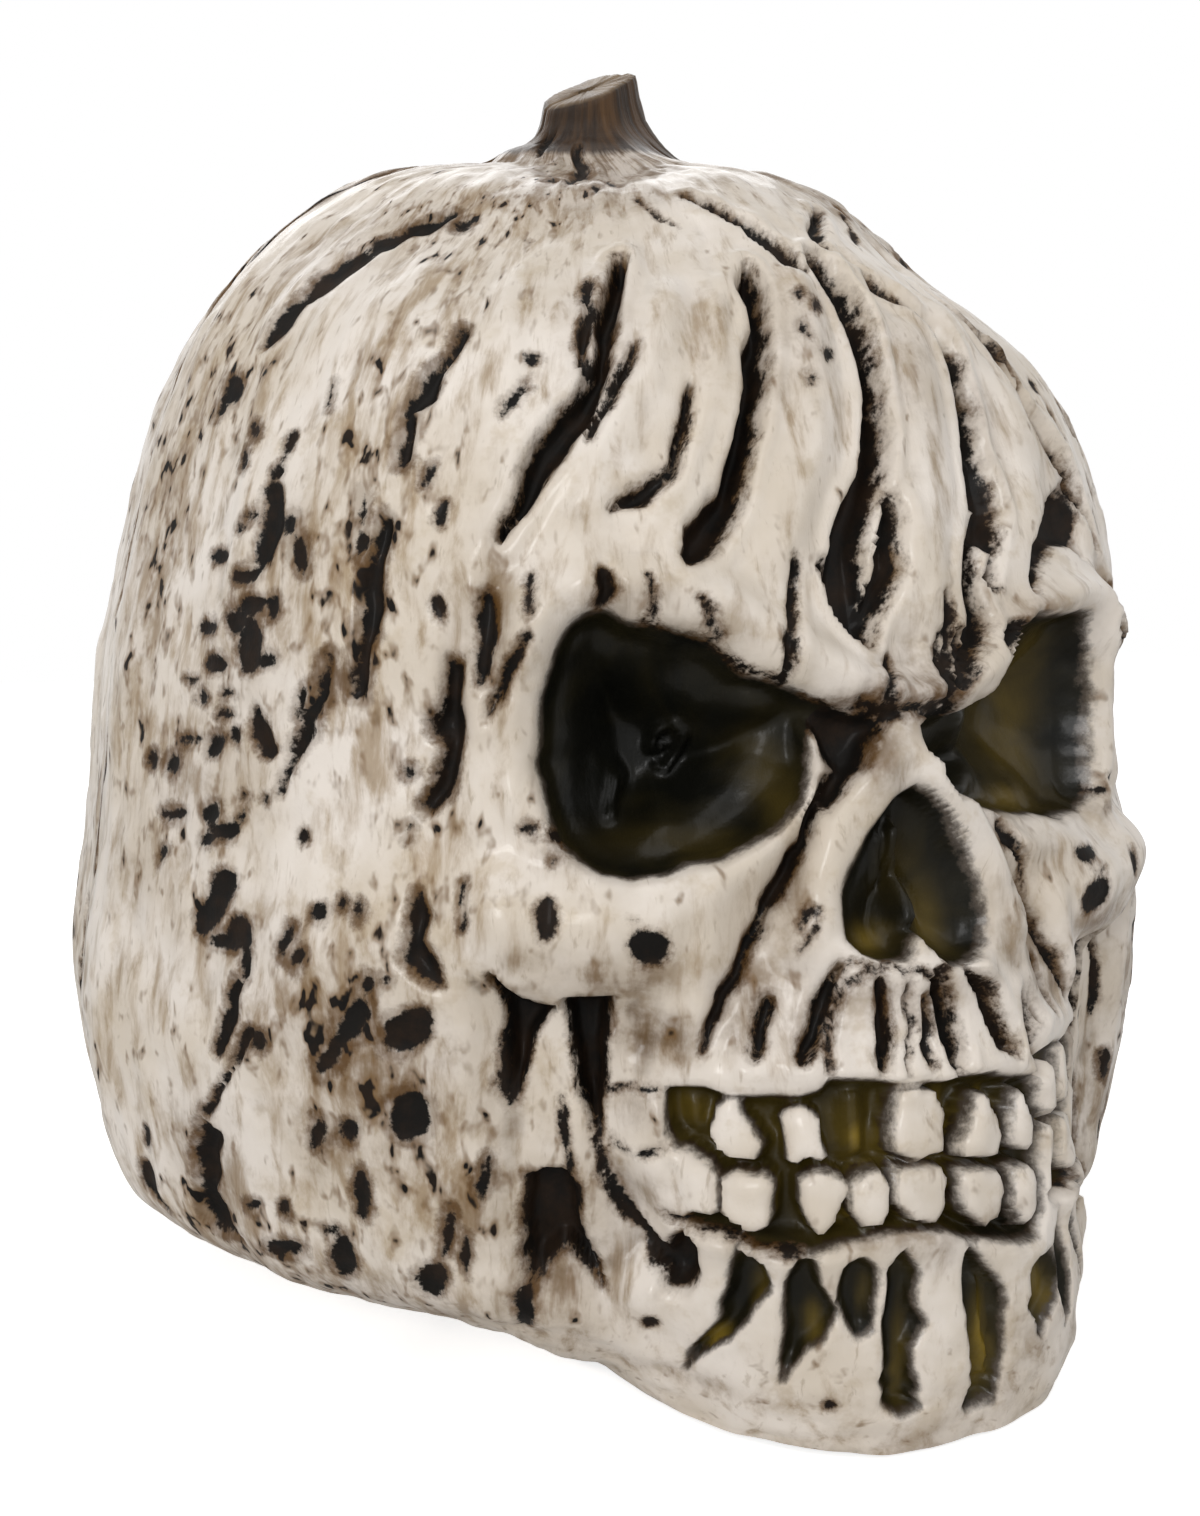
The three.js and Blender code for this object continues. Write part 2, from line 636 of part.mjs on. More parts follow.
// Screws: a pan head under the plate or on the deck and a plain shank in the boss
function screw(headRadius, headHeight, shankRadius, shankLength) {
  // head seat at z = 0, head below, shank above
  const socketRadius = headRadius * 0.4;
  const socketDepthDown = headHeight * 0.6;
  return solid(turned([
    [0, -headHeight], [headRadius * 0.75, -headHeight], [headRadius, -headHeight * 0.6], [headRadius, 0],
    [shankRadius, 0], [shankRadius, shankLength - shankRadius], [0, shankLength],
  ], 12)).subtract(solid(rod(socketRadius, -headHeight - cutOverrun, -headHeight + socketDepthDown, 0, 0, 6)));
}

const baseHeadRadius = 3.4;
const baseHeadHeight = 2.2;
const baseShankLength = plateThickness + bossRise * 0.6;

function foot() {
  const lip = 0.8;
  return turned([
    [0, 0], [footRadius - lip, 0], [footRadius, lip], [footRadius, footHeight - seatGap],
    [footPeg, footHeight - seatGap], [footPeg, footHeight + footPegRise], [0, footHeight + footPegRise],
  ], 16);
}

// Candle housing: a cup with a flange under the plate, the cell bay inside it and a slot for the switch
const flangeTop = plateBottom - seatGap;
const housingBottom = flangeTop - flangeThickness;
const housingRadius = collarBore - candleClearance;
const housingTop = housingBottom + housingHeight;
const floorTop = housingBottom + housingWall;
const bayWall = 1.6;
const cellSideGap = 0.4;
const contactThickness = 0.5;
const springLength = 6;
const bayHalfWidth = cellPitch + cellRadius + cellSideGap;
const bayHalfLength = (cellLength + springLength + 2 * contactThickness + 5 * seatGap) / 2;
const doorThickness = 1.6;
const doorRecess = 0.3;
const doorBottom = housingBottom + doorRecess;
const doorTop = doorBottom + doorThickness;
const hingeRadius = 1.7;
const cellHeight = doorBottom + 2 * hingeRadius + seatGap + cellRadius;
const bayTop = cellHeight + cellRadius + cellSideGap;
const hingePinRadius = 0.8;
const hingePinClearance = 0.25;
const hingeHeight = doorBottom + hingeRadius;
const hingePlace = -bayHalfLength + hingeRadius + seatGap;
const postRadius = 3;
const postCircle = 33.8;
const postTurns = [0, 180, -90].map((turn) => turn * degree);
const deckScrewShank = 1.1;
const deckScrewBore = 1.4;
const deckScrewLength = 9;
const standoffRadius = 2;
const standoffHeight = 2.6;
const standoffPlace = 15;
const gripHeight = 2;
const gripDepth = 1.2;
const gripPlace = 16;
const switchPlace = 29.5;
const knobWidth = 2.2;
const knobLength = 3.2;
const knobTravel = 6;
const slotClearance = 0.35;

function candleHousing() {
  const shell = solid(turned([
    [0, housingBottom], [housingRadius + flangeRim, housingBottom], [housingRadius + flangeRim, flangeTop],
    [housingRadius, flangeTop], [housingRadius, housingTop], [housingRadius - housingWall, housingTop],
    [housingRadius - housingWall, floorTop], [0, floorTop],
  ], 40));
  const bayOuter = block(
    -bayHalfWidth - bayWall, bayHalfWidth + bayWall, -bayHalfLength - bayWall, bayHalfLength + bayWall,
    housingBottom, bayTop + bayWall,
  );
  const bayInner = block(-bayHalfWidth, bayHalfWidth, -bayHalfLength, bayHalfLength, housingBottom - cutOverrun, bayTop);
  let cup = shell.add(solid(bayOuter));
  [-standoffPlace, standoffPlace].forEach((x) => {
    cup = cup.add(solid(rod(standoffRadius, bayTop, bayTop + bayWall + standoffHeight, x, 0, 12)));
  });
  postTurns.forEach((turn) => {
    const [x, y] = onCircle(turn, postCircle);
    cup = cup.add(solid(rod(postRadius, housingBottom, housingTop - seatGap, x, y, 16)));
    cup = cup.subtract(solid(rod(deckScrewBore, housingTop - deckScrewLength - cutOverrun, housingTop + cutOverrun, x, y, 12)));
  });
  cup = cup.subtract(solid(bayInner));
  const pinBore = rod(hingePinRadius + hingePinClearance, -bayHalfWidth - bayWall / 2, bayHalfWidth + bayWall / 2, 0, 0, 12);
  pinBore.rotateY(90 * degree).translate(0, hingePlace, hingeHeight);
  cup = cup.subtract(solid(pinBore));
  const slotHalf = (knobLength + knobTravel) / 2 + slotClearance;
  const slotSide = knobWidth / 2 + slotClearance;
  cup = cup.subtract(solid(block(
    switchPlace - slotSide, switchPlace + slotSide, -slotHalf, slotHalf, housingBottom - cutOverrun, floorTop + cutOverrun / 2,
  )));
  const groove = turned([
    [housingRadius - gripDepth, housingBottom + gripPlace], [housingRadius + cutOverrun, housingBottom + gripPlace],
    [housingRadius + cutOverrun, housingBottom + gripPlace + gripHeight],
    [housingRadius - gripDepth, housingBottom + gripPlace + gripHeight],
    [housingRadius - gripDepth, housingBottom + gripPlace],
  ], 40);
  return cup.subtract(solid(groove));
}

function gripRing() {
  const inner = housingRadius - gripDepth + seatGap;
  const outer = collarBore - seatGap / 2;
  const [low, high] = [housingBottom + gripPlace + seatGap / 2, housingBottom + gripPlace + gripHeight - seatGap / 2];
  return turned([[inner, low], [outer, low], [outer, high], [inner, high], [inner, low]], 40);
}

// Battery door: a flat lid with a hinge barrel, turning on a steel pin in the bay's side walls
const doorClearance = 0.3;
const thumbRadius = 5;

function batteryDoor() {
  const halfWidth = bayHalfWidth - doorClearance;
  const plate = solid(block(-halfWidth, halfWidth, hingePlace, bayHalfLength - doorClearance, doorBottom, doorTop));
  const barrel = rod(hingeRadius, -halfWidth, halfWidth, 0, 0, 16);
  barrel.rotateY(90 * degree).translate(0, hingePlace, hingeHeight);
  const bore = rod(hingePinRadius + hingePinClearance, -halfWidth - cutOverrun, halfWidth + cutOverrun, 0, 0, 12);
  bore.rotateY(90 * degree).translate(0, hingePlace, hingeHeight);
  const thumb = rod(thumbRadius, doorBottom - cutOverrun, doorTop + cutOverrun, 0, bayHalfLength + thumbRadius * 0.4, 24);
  return plate.add(solid(barrel)).subtract(solid(bore)).subtract(solid(thumb));
}

function doorHingePin() {
  const half = bayHalfWidth + bayWall / 2 - seatGap;
  const pin = rod(hingePinRadius, -half, half, 0, 0, 12);
  return pin.rotateY(90 * degree).translate(0, hingePlace, hingeHeight);
}

// Cells lie side by side, each the other way round from its neighbour
const nubRadius = 2.2;
const nubHeight = 1;
const cellShoulder = 0.6;
const contactHalf = 4.4;
const springRadius = 3;
const springWire = 0.5;
const springTurns = 3;
const cellStart = -bayHalfLength + contactThickness + 3 * seatGap + springLength;

function cell() {
  // lies along Y with the spring end at -Y
  const geometry = turned([
    [0, 0], [cellRadius - cellShoulder, 0], [cellRadius, cellShoulder],
    [cellRadius, cellLength - nubHeight - cellShoulder], [cellRadius - cellShoulder, cellLength - nubHeight],
    [nubRadius, cellLength - nubHeight], [nubRadius, cellLength], [0, cellLength],
  ], 18);
  return geometry.rotateX(-90 * degree).translate(0, cellStart, 0);
}

class Coil extends THREE.Curve {
  getPoint(t) {
    const turn = 360 * degree * springTurns * t;
    const taper = springRadius * (1 - 0.25 * t);
    const lift = springWire + (springLength - 2 * springWire) * smooth(t);
    return new THREE.Vector3(taper * Math.cos(turn), lift, taper * Math.sin(turn));
  }
}

function springContact() {
  const plateStart = -bayHalfLength + seatGap;
  const plate = block(-contactHalf, contactHalf, plateStart, plateStart + contactThickness, -contactHalf, contactHalf);
  const section = new THREE.Shape();
  section.absarc(0, 0, springWire, 0, 360 * degree);
  const coil = new THREE.ExtrudeGeometry(section, {
    extrudePath: new Coil(), steps: springTurns * 8, curveSegments: 3, bevelEnabled: false,
  });
  coil.translate(0, plateStart + contactThickness / 2, 0);
  return solid(plate).add(solid(coil));
}

function plateContact() {
  const plateEnd = bayHalfLength - seatGap;
  return block(-contactHalf, contactHalf, plateEnd - contactThickness, plateEnd, -contactHalf, contactHalf);
}

// Circuit board on the bay's standoffs, and the slide switch on the housing's floor
const boardRadius = 29;
const boardThickness = 1.6;
const boardBottom = bayTop + bayWall + standoffHeight + seatGap;
const boardTop = boardBottom + boardThickness;
const chipHalf = 4;
const chipHeight = 1.5;
const chipPlace = 14;
const switchHalfWidth = 3.2;
const switchHalfLength = 6.5;
const switchHeight = 6.5;
const knobCap = 1.1;
const knobCapRim = 1.2;
const knobDrop = 0.2;
const knobTopGap = 0.25;

function circuitBoard() {
  const board = solid(rod(boardRadius, boardBottom, boardTop, 0, 0, 32));
  const chip = block(-chipHalf, chipHalf, chipPlace - chipHalf, chipPlace + chipHalf, boardBottom + boardThickness / 2, boardTop + chipHeight);
  const resistor = block(-chipHalf, chipHalf, -chipPlace - chipHalf / 2, -chipPlace, boardBottom + boardThickness / 2, boardTop + chipHeight);
  return board.add(solid(chip)).add(solid(resistor));
}

function switchBody() {
  const [low, high] = [floorTop + seatGap, floorTop + seatGap + switchHeight];
  return block(switchPlace - switchHalfWidth, switchPlace + switchHalfWidth, -switchHalfLength, switchHalfLength, low, high);
}

function switchKnob() {
  const start = -knobTravel / 2;
  const capTop = housingBottom - knobDrop;
  const cap = block(
    switchPlace - knobWidth / 2 - knobCapRim, switchPlace + knobWidth / 2 + knobCapRim,
    start - knobLength / 2 - knobCapRim, start + knobLength / 2 + knobCapRim, capTop - knobCap, capTop,
  );
  const stalk = block(
    switchPlace - knobWidth / 2, switchPlace + knobWidth / 2, start - knobLength / 2, start + knobLength / 2,
    capTop - knobCap / 2, floorTop + knobTopGap / 2,
  );
  return solid(cap).add(solid(stalk));
}

// Deck: closes the housing and holds the sleeve and the lamp post
const deckBottom = housingTop + seatGap;
const deckThickness = 2.2;
const deckTop = deckBottom + deckThickness;
const deckRing = 1.8;
const deckRingRise = 4;
const deckHole = 3.2;
const deckHeadRadius = 2.4;
const deckHeadHeight = 1.6;

function candleDeck() {
  const ringInner = sleeveRadius + seatGap;
  let deck = solid(turned([
    [deckHole, deckBottom], [housingRadius, deckBottom], [housingRadius, deckTop], [ringInner + deckRing, deckTop],
    [ringInner + deckRing, deckTop + deckRingRise], [ringInner, deckTop + deckRingRise], [ringInner, deckTop],
    [deckHole, deckTop], [deckHole, deckBottom],
  ], 40));
  postTurns.forEach((turn) => {
    const [x, y] = onCircle(turn, postCircle);
    deck = deck.subtract(solid(rod(deckScrewBore, deckBottom - cutOverrun, deckTop + cutOverrun, x, y, 12)));
  });
  return deck;
}

// Sleeve: a wax-coloured tube with a dished top and a hole for the lamp
const sleeveBottom = deckTop + seatGap;
const sleeveTop = sleeveBottom + sleeveHeight;
const sleeveDish = 3;
const sleeveHole = 4.2;
const sleeveLid = 2;
const sleeveRound = 1.5;

function candleSleeve() {
  const inner = sleeveRadius - sleeveWall;
  return turned([
    [inner, sleeveBottom], [sleeveRadius, sleeveBottom], [sleeveRadius, sleeveTop - sleeveRound],
    [sleeveRadius - sleeveRound, sleeveTop], [inner - sleeveWall, sleeveTop - sleeveRound],
    [inner / 2, sleeveTop - sleeveDish], [sleeveHole, sleeveTop - sleeveDish],
    [sleeveHole, sleeveTop - sleeveDish - sleeveLid], [inner / 2, sleeveTop - sleeveDish - sleeveLid],
    [inner - sleeveWall, sleeveTop - sleeveRound - sleeveLid], [inner, sleeveTop - sleeveRound - 2 * sleeveLid],
    [inner, sleeveBottom],
  ], 32);
}

// Lamp: a post on the deck carries the light diode up into the flame-shaped tip
const lampFoot = 8;
const lampFootHeight = 1.5;
const lampPostRadius = 3.8;
const lampPostBore = 2.7;
const diodeRadius = 2.5;
const diodeRim = 0.4;
const diodeHeight = 8;
const diodeCollar = 1;
const tipBottom = sleeveTop - sleeveDish + seatGap;
const diodeBottom = tipBottom - sleeveLid - 1.5 * seatGap;
const postTop = diodeBottom - seatGap;

function ledPost() {
  const bottom = deckTop + seatGap;
  return turned([
    [lampPostBore, bottom], [lampFoot, bottom], [lampFoot, bottom + lampFootHeight],
    [lampPostRadius, bottom + lampFootHeight], [lampPostRadius, postTop], [lampPostBore, postTop],
    [lampPostBore, bottom],
  ], 24);
}

function ledLamp() {
  const shoulder = diodeHeight - diodeRadius;
  const dome = [0.25, 0.5, 0.75].map((share) => [
    diodeRadius * Math.cos(90 * share * degree), diodeBottom + shoulder + diodeRadius * Math.sin(90 * share * degree),
  ]);
  return turned([
    [0, diodeBottom], [diodeRadius + diodeRim, diodeBottom], [diodeRadius + diodeRim, diodeBottom + diodeCollar],
    [diodeRadius, diodeBottom + diodeCollar], [diodeRadius, diodeBottom + shoulder], ...dome,
    [0, diodeBottom + diodeHeight],
  ], 20);
}

const tipRim = 2;
const tipRadius = 5.6;
const tipSkirt = 1.2;
const tipShares = [[0.12, 0.8], [0.3, 1], [0.5, 0.88], [0.7, 0.6], [0.88, 0.26]];

function flameTip() {
  const cavity = diodeRadius + diodeRim + seatGap;
  const cavityTop = diodeBottom + diodeHeight + seatGap;
  const bulge = tipShares.map(([up, out]) => [tipRadius * out, tipBottom + flameHeight * up]);
  return turned([
    [cavity, tipBottom], [tipRadius + tipRim, tipBottom], [tipRadius + tipRim, tipBottom + tipSkirt], ...bulge,
    [0, tipBottom + flameHeight], [0, cavityTop + diodeRadius / 2], [cavity / 2, cavityTop], [cavity, cavityTop - diodeRadius],
    [cavity, tipBottom],
  ], 20);
}

const wireRadius = 0.55;
const wirePlace = 7;
const wireGauge = 1.3;
const wireRise = 4;

function lampWire(side) {
  const start = boardTop + seatGap;
  const end = diodeBottom - seatGap;
  const path = new THREE.CatmullRomCurve3([
    new THREE.Vector3(side * wirePlace, 0, start),
    new THREE.Vector3(side * wirePlace, 0, start + wireRise),
    new THREE.Vector3(side * wireGauge, 0, start + 2.2 * wireRise),
    new THREE.Vector3(side * wireGauge, 0, deckTop + wireRise),
    new THREE.Vector3(side * wireGauge, 0, end),
  ]);
  const section = new THREE.Shape();
  section.absarc(0, 0, wireRadius, 0, 360 * degree);
  return new THREE.ExtrudeGeometry(section, { extrudePath: path, steps: 16, curveSegments: 4, bevelEnabled: false });
}

// Assembly
const [frontShell, rearShell] = makeShells();
addPiece('front_shell', frontShell, boneShell);
addPiece('rear_shell', rearShell, boneShell);
addPiece('base_plate', basePlate(), darkOlive);
bossTurns.forEach((turn, i) => {
  const piece = addPiece(`base_screw_${i + 1}`, screw(baseHeadRadius, baseHeadHeight, screwShank, baseShankLength), steel);
  piece.position.set(...onCircle(turn, bossCircle), plateBottom - seatGap);
});
footTurns.forEach((turn, i) => {
  const piece = addPiece(`foot_${i + 1}`, foot(), rubberBlack);
  piece.position.set(...onCircle(turn, footCircle), 0);
});
addPiece('candle_housing', candleHousing(), blackPlastic);
addPiece('grip_ring', gripRing(), rubberBlack);
addPiece('battery_door', batteryDoor(), blackPlastic);
addPiece('door_hinge_pin', doorHingePin(), steel);
[-1, 0, 1].forEach((place, i) => {
  const turned180 = place === 0 ? 180 * degree : 0;
  [['battery', cell(), cellJacket], ['spring_contact', springContact(), steel], ['plate_contact', plateContact(), steel]]
    .forEach(([name, shape, material]) => {
      const piece = addPiece(`${name}_${i + 1}`, shape, material);
      piece.position.set(place * cellPitch, 0, cellHeight);
      piece.rotation.z = turned180;
    });
});
addPiece('circuit_board', circuitBoard(), boardGreen);
addPiece('switch_body', switchBody(), blackPlastic);
addPiece('switch_knob', switchKnob(), waxWhite);
addPiece('candle_deck', candleDeck(), waxWhite);
postTurns.forEach((turn, i) => {
  const piece = addPiece(`deck_screw_${i + 1}`, screw(deckHeadRadius, deckHeadHeight, deckScrewShank, deckScrewLength), steel);
  piece.rotation.x = 180 * degree;
  piece.position.set(...onCircle(turn, postCircle), deckTop + seatGap);
});
addPiece('candle_sleeve', candleSleeve(), waxWhite);
addPiece('led_post', ledPost(), waxWhite);
addPiece('led_lamp', ledLamp(), lampClear);
addPiece('flame_tip', flameTip(), flameAmber);
addPiece('lamp_wire_1', lampWire(-1), wireRed);
addPiece('lamp_wire_2', lampWire(1), wireBlack);

// The origin is on the table under the middle of the footprint, between the chin and the back of the head
group.position.y = (muzzleReach - bodyRadius) / 2;

export default group;
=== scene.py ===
import math
import bmesh
import bpy
import numpy as np
from mathutils import Matrix, Vector


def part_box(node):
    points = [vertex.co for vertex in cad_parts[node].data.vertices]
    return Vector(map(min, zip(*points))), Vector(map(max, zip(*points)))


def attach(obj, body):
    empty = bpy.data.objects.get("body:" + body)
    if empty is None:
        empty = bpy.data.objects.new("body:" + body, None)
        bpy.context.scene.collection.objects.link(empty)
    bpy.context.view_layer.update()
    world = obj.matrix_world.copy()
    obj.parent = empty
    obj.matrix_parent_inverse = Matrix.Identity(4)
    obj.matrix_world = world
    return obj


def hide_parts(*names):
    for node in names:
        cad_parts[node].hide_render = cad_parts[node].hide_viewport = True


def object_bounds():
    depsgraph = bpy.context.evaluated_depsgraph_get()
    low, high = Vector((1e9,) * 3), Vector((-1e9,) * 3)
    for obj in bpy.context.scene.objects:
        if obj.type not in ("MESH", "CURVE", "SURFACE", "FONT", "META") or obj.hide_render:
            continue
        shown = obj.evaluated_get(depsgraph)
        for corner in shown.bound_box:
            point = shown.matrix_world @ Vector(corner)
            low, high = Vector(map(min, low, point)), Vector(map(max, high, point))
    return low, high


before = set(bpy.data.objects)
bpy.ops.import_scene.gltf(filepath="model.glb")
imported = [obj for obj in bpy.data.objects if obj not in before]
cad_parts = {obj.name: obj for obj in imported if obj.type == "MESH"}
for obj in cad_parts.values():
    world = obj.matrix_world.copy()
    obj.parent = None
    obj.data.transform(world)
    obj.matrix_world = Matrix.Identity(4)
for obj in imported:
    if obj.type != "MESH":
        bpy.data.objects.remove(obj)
cad_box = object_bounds()

# Camera: the photograph looks at the face from its right, a little downward. The paint and the carving
# below are laid out by pixels of that photograph, so the camera comes first.
PHOTO_WIDTH, PHOTO_HEIGHT = 1200, 1516
FOCAL_PIXELS = 1684
view_turn = math.radians(27)
view_drop = math.radians(7)
view_distance = 367
view_height = 143.7
MM = 0.001
seam_gap = 0.3
seam_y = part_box("front_shell")[1].y / MM + seam_gap / 2

ahead = np.array([
    math.sin(view_turn) * math.cos(view_drop),
    math.cos(view_turn) * math.cos(view_drop),
    -math.sin(view_drop),
])
rightward = np.array([math.cos(view_turn), -math.sin(view_turn), 0])
upward = np.cross(rightward, ahead)
eye = np.array([-math.sin(view_turn) * view_distance, -math.cos(view_turn) * view_distance, view_height])

camera_data = bpy.data.cameras.new("photo_camera")
camera_data.sensor_width = 36
camera_data.lens = FOCAL_PIXELS / PHOTO_HEIGHT * camera_data.sensor_width
camera_data.clip_start = 0.01
camera = bpy.data.objects.new("photo_camera", camera_data)
bpy.context.scene.collection.objects.link(camera)
axes = Matrix([list(rightward), list(upward), list(-ahead)]).transposed().to_4x4()
place = Vector((eye[0], eye[1] + seam_y, eye[2])) * MM
camera.matrix_world = Matrix.Translation(place) @ axes
bpy.context.scene.camera = camera
bpy.context.scene.view_settings.view_transform = "Standard"


def to_photo(points):
    """Pixels of the photograph at which points of the skull are seen, and how far off they are."""
    reach = points - eye
    depth = reach @ ahead
    across = PHOTO_WIDTH / 2 + FOCAL_PIXELS * (reach @ rightward) / depth
    down = PHOTO_HEIGHT / 2 - FOCAL_PIXELS * (reach @ upward) / depth
    return across, down, depth


# Form of the skull: a ribbed pumpkin body with a jaw that stands out of it and a stem that grows out of the
# crown, hollow moulded in two shells. Rows run from the rim up the body, the crown, the stem and its cut.
# The outlines below are in millimetres: (radius, height) on the body.
body_profile = [
    (65, 0), (77.3, 4.5), (91.9, 11.3), (100.8, 17), (105.8, 22.6), (108.4, 31.6), (110.5, 45), (112, 58.8),
    (111, 70), (109, 81.5), (107, 96), (105.5, 110.7), (103.5, 126.5), (100.5, 139), (97.5, 151.5), (94, 164),
    (91, 173), (87, 182), (81.5, 192), (75, 201), (67.5, 209), (59.5, 215), (52, 219), (44, 222), (34, 224),
]
# (radius, height, share of the slanted cut) on the stem
stem_profile = [
    (28, 225, 0), (24, 226.6, 0), (21, 228, 0), (18.4, 229.8, 0.03), (15.8, 231.8, 0.12), (13.4, 234, 0.3),
    (11.4, 236.6, 0.5), (10.2, 240, 0.8), (9.8, 242.4, 0.93), (9.6, 244, 1), (9.3, 244.6, 1), (8.4, 244.8, 1),
    (6, 244.8, 1), (3, 244.8, 1), (0.2, 244.8, 1),
]
# (half width, reach from the axis, height) of the jaw
jaw_profile = [
    (42, 124, 0), (46, 125.7, 8), (49, 125.7, 20), (50, 124.5, 35), (48, 123.5, 50), (45, 122, 60),
    (40, 119, 72), (34, 116.5, 82), (25, 113.5, 95), (19, 111, 106), (14, 107.5, 116), (10, 103, 124),
]
jaw_back = 60
jaw_top = 124
jaw_blend = 7
jaw_power = 2.5
jaw_shift = 4
crown_sink = 5.5
sink_start, sink_span = 180.8, 40.7
shoulder_rise, shoulder_radius = 3.8, 50.4
rim_height = 1
body_top = 222
stem_foot = 28
stem_slant = (0.49, 0.26)
stem_lean = 2.9
flute_count, flute_depth = 5, 0.05
rib_count, rib_rise = 13, 1.8
chin_skirt = 16
# How far the cheek, the temple and the jowl stand out, and the (middle, spread) of each by side, in degrees,
# and by height
face_swellings = [(5.5, (45, 24), (150, 34)), (-10, (40, 28), (202.3, 15.8)), (3, (42, 16), (80, 14))]


def bell(value, middle, spread):
    return np.exp(-(((value - middle) / spread) ** 2))


def smooth(share):
    share = np.clip(share, 0, 1)
    return share * share * (3 - 2 * share)


def side_of(turn):
    """Degrees from the middle of the face, to either side."""
    return np.degrees(np.abs(np.arctan2(np.sin(turn), np.cos(turn))))


def profile_rows(step_face, step_crown, step_stem, face_top=140):
    """Radius, height and slant of every row, evenly spaced along a rounded profile."""
    line = np.array([(r, z, 0) for r, z in body_profile] + stem_profile, float)
    run = np.concatenate([[0], np.cumsum(np.hypot(np.diff(line[:, 0]), np.diff(line[:, 1])))])
    fine = np.arange(0, run[-1], 0.25)
    dense = np.stack([np.interp(fine, run, line[:, k]) for k in range(3)], 1)
    crown = run[len(body_profile) - 1]
    wide = np.convolve(np.ones(33) / 33, np.ones(33) / 33)
    tight = np.convolve(np.ones(5) / 5, np.ones(5) / 5)
    for kernel, keep in ((wide, fine < crown), (tight, fine >= crown - 2)):
        half = len(kernel) // 2
        padded = np.pad(dense, ((half, half), (0, 0)), mode="reflect", reflect_type="odd")
        eased = np.stack([np.convolve(padded[:, k], kernel, mode="valid") for k in range(3)], 1)
        dense[keep] = eased[keep]
    start = fine[np.argmax(dense[:, 1] >= rim_height)]
    turn = fine[np.argmax(dense[:, 1] >= face_top)]
    stops = np.concatenate([
        np.linspace(start, turn, round((turn - start) / step_face), endpoint=False),
        np.linspace(turn, crown, round((crown - turn) / step_crown), endpoint=False),
        np.linspace(crown, fine[-1], round((fine[-1] - crown) / step_stem)),
    ])
    return stops, np.stack([np.interp(stops, fine, dense[:, k]) for k in range(3)], 1)


def jaw_radius(turn, height):
    table = np.array(jaw_profile, float)
    half_width = np.interp(height, table[:, 2], table[:, 0])
    reach = np.interp(height, table[:, 2], table[:, 1]) - jaw_back
    shift = jaw_shift * smooth((44 - height) / 36)
    low, high = np.full(turn.shape, 50.0), np.full(turn.shape, 140.0)
    for _ in range(26):
        middle = (low + high) / 2
        across = np.abs(middle * np.sin(turn) - shift) / half_width
        forward = np.maximum(middle * np.cos(turn) - jaw_back, 0) / reach
        inside = across ** jaw_power + forward ** jaw_power < 1
        low, high = np.where(inside, middle, low), np.where(inside, high, middle)
    return np.where((np.cos(turn) > 0.2) & (height < jaw_top), low, 0)


def sunken(side, radius, height):
    """Height after the crown has sunk towards the stem, less behind the temples than over the face."""
    behind = 1 / (1 + np.exp((80 - side) / 6))
    sink = crown_sink - shoulder_rise * behind * smooth(radius / shoulder_radius)
    return height - sink * smooth((height - sink_start) / sink_span)


def skin_form(turns, rows):
    """Points of the plain skull in millimetres about its upright axis, one line of points for each row."""
    turn, radius = np.meshgrid(turns, rows[:, 0])
    height, slant = (np.broadcast_to(rows[:, k:k + 1], turn.shape) for k in (1, 2))
    side = side_of(turn)
    front = 1 / (1 + np.exp((side - 78) / 7))
    below_stem = np.where(slant > 0.001, 0, 1) * smooth((body_top + 4 - height) / 6)
    form = radius
    for rise, by_side, by_height in face_swellings:
        form = form + below_stem * front * rise * bell(side, *by_side) * bell(height, *by_height)
    form = form + (1 - front) * rib_rise * np.cos(rib_count * turn) * smooth((body_top - height) / 40)
    form = form + chin_skirt * (1 - smooth((side - 26) / 18)) * (1 - smooth(height / 22))
    jaw = jaw_radius(turn, height)
    mix = np.clip(0.5 + 0.5 * (form - jaw) / jaw_blend, 0, 1)
    form = form * mix + jaw * (1 - mix) + jaw_blend * mix * (1 - mix)
    stem = smooth((stem_foot - radius) / 10) * (height > body_top)
    flute = 1 + flute_depth * stem * np.cos(flute_count * turn + 0.6)
    x = form * flute * np.sin(turn) - stem_lean * stem
    y = -form * flute * np.cos(turn)
    rise = slant * (stem_slant[0] * (x + stem_lean) + stem_slant[1] * y)
    return np.stack([x, y, sunken(side, form, height) + rise], -1)


def soften(field, passes):
    """Averages a grid of numbers or vectors with its neighbours, several times over."""
    extra = [(0, 0)] * (field.ndim - 2)
    for _ in range(passes):
        wide = np.pad(field, [(1, 1), (1, 1)] + extra, mode="edge")
        field = (wide[:-2, 1:-1] + 2 * wide[1:-1, 1:-1] + wide[2:, 1:-1]) / 4
        wide = np.pad(field, [(0, 0), (1, 1)] + extra, mode="edge")
        field = (wide[:, :-2] + 2 * wide[:, 1:-1] + wide[:, 2:]) / 4
    return field


def lattice_noise(x, y, seed):
    """Smooth noise between -1 and 1 over a plane, the same on every run."""
    x0, y0 = np.floor(x).astype(np.int64), np.floor(y).astype(np.int64)
    fx, fy = smooth(x - x0), smooth(y - y0)

    def corner(i, j):
        mixed = (i * 374761393 + j * 668265263 + seed * 1442695041) & 0xFFFFFFFF
        mixed = ((mixed ^ (mixed >> 13)) * 1274126177) & 0xFFFFFFFF
        return ((mixed ^ (mixed >> 16)) & 0xFFFF) / 32767.5 - 1

    low = corner(x0, y0) * (1 - fx) + corner(x0 + 1, y0) * fx
    high = corner(x0, y0 + 1) * (1 - fx) + corner(x0 + 1, y0 + 1) * fx
    return low * (1 - fy) + high * fy


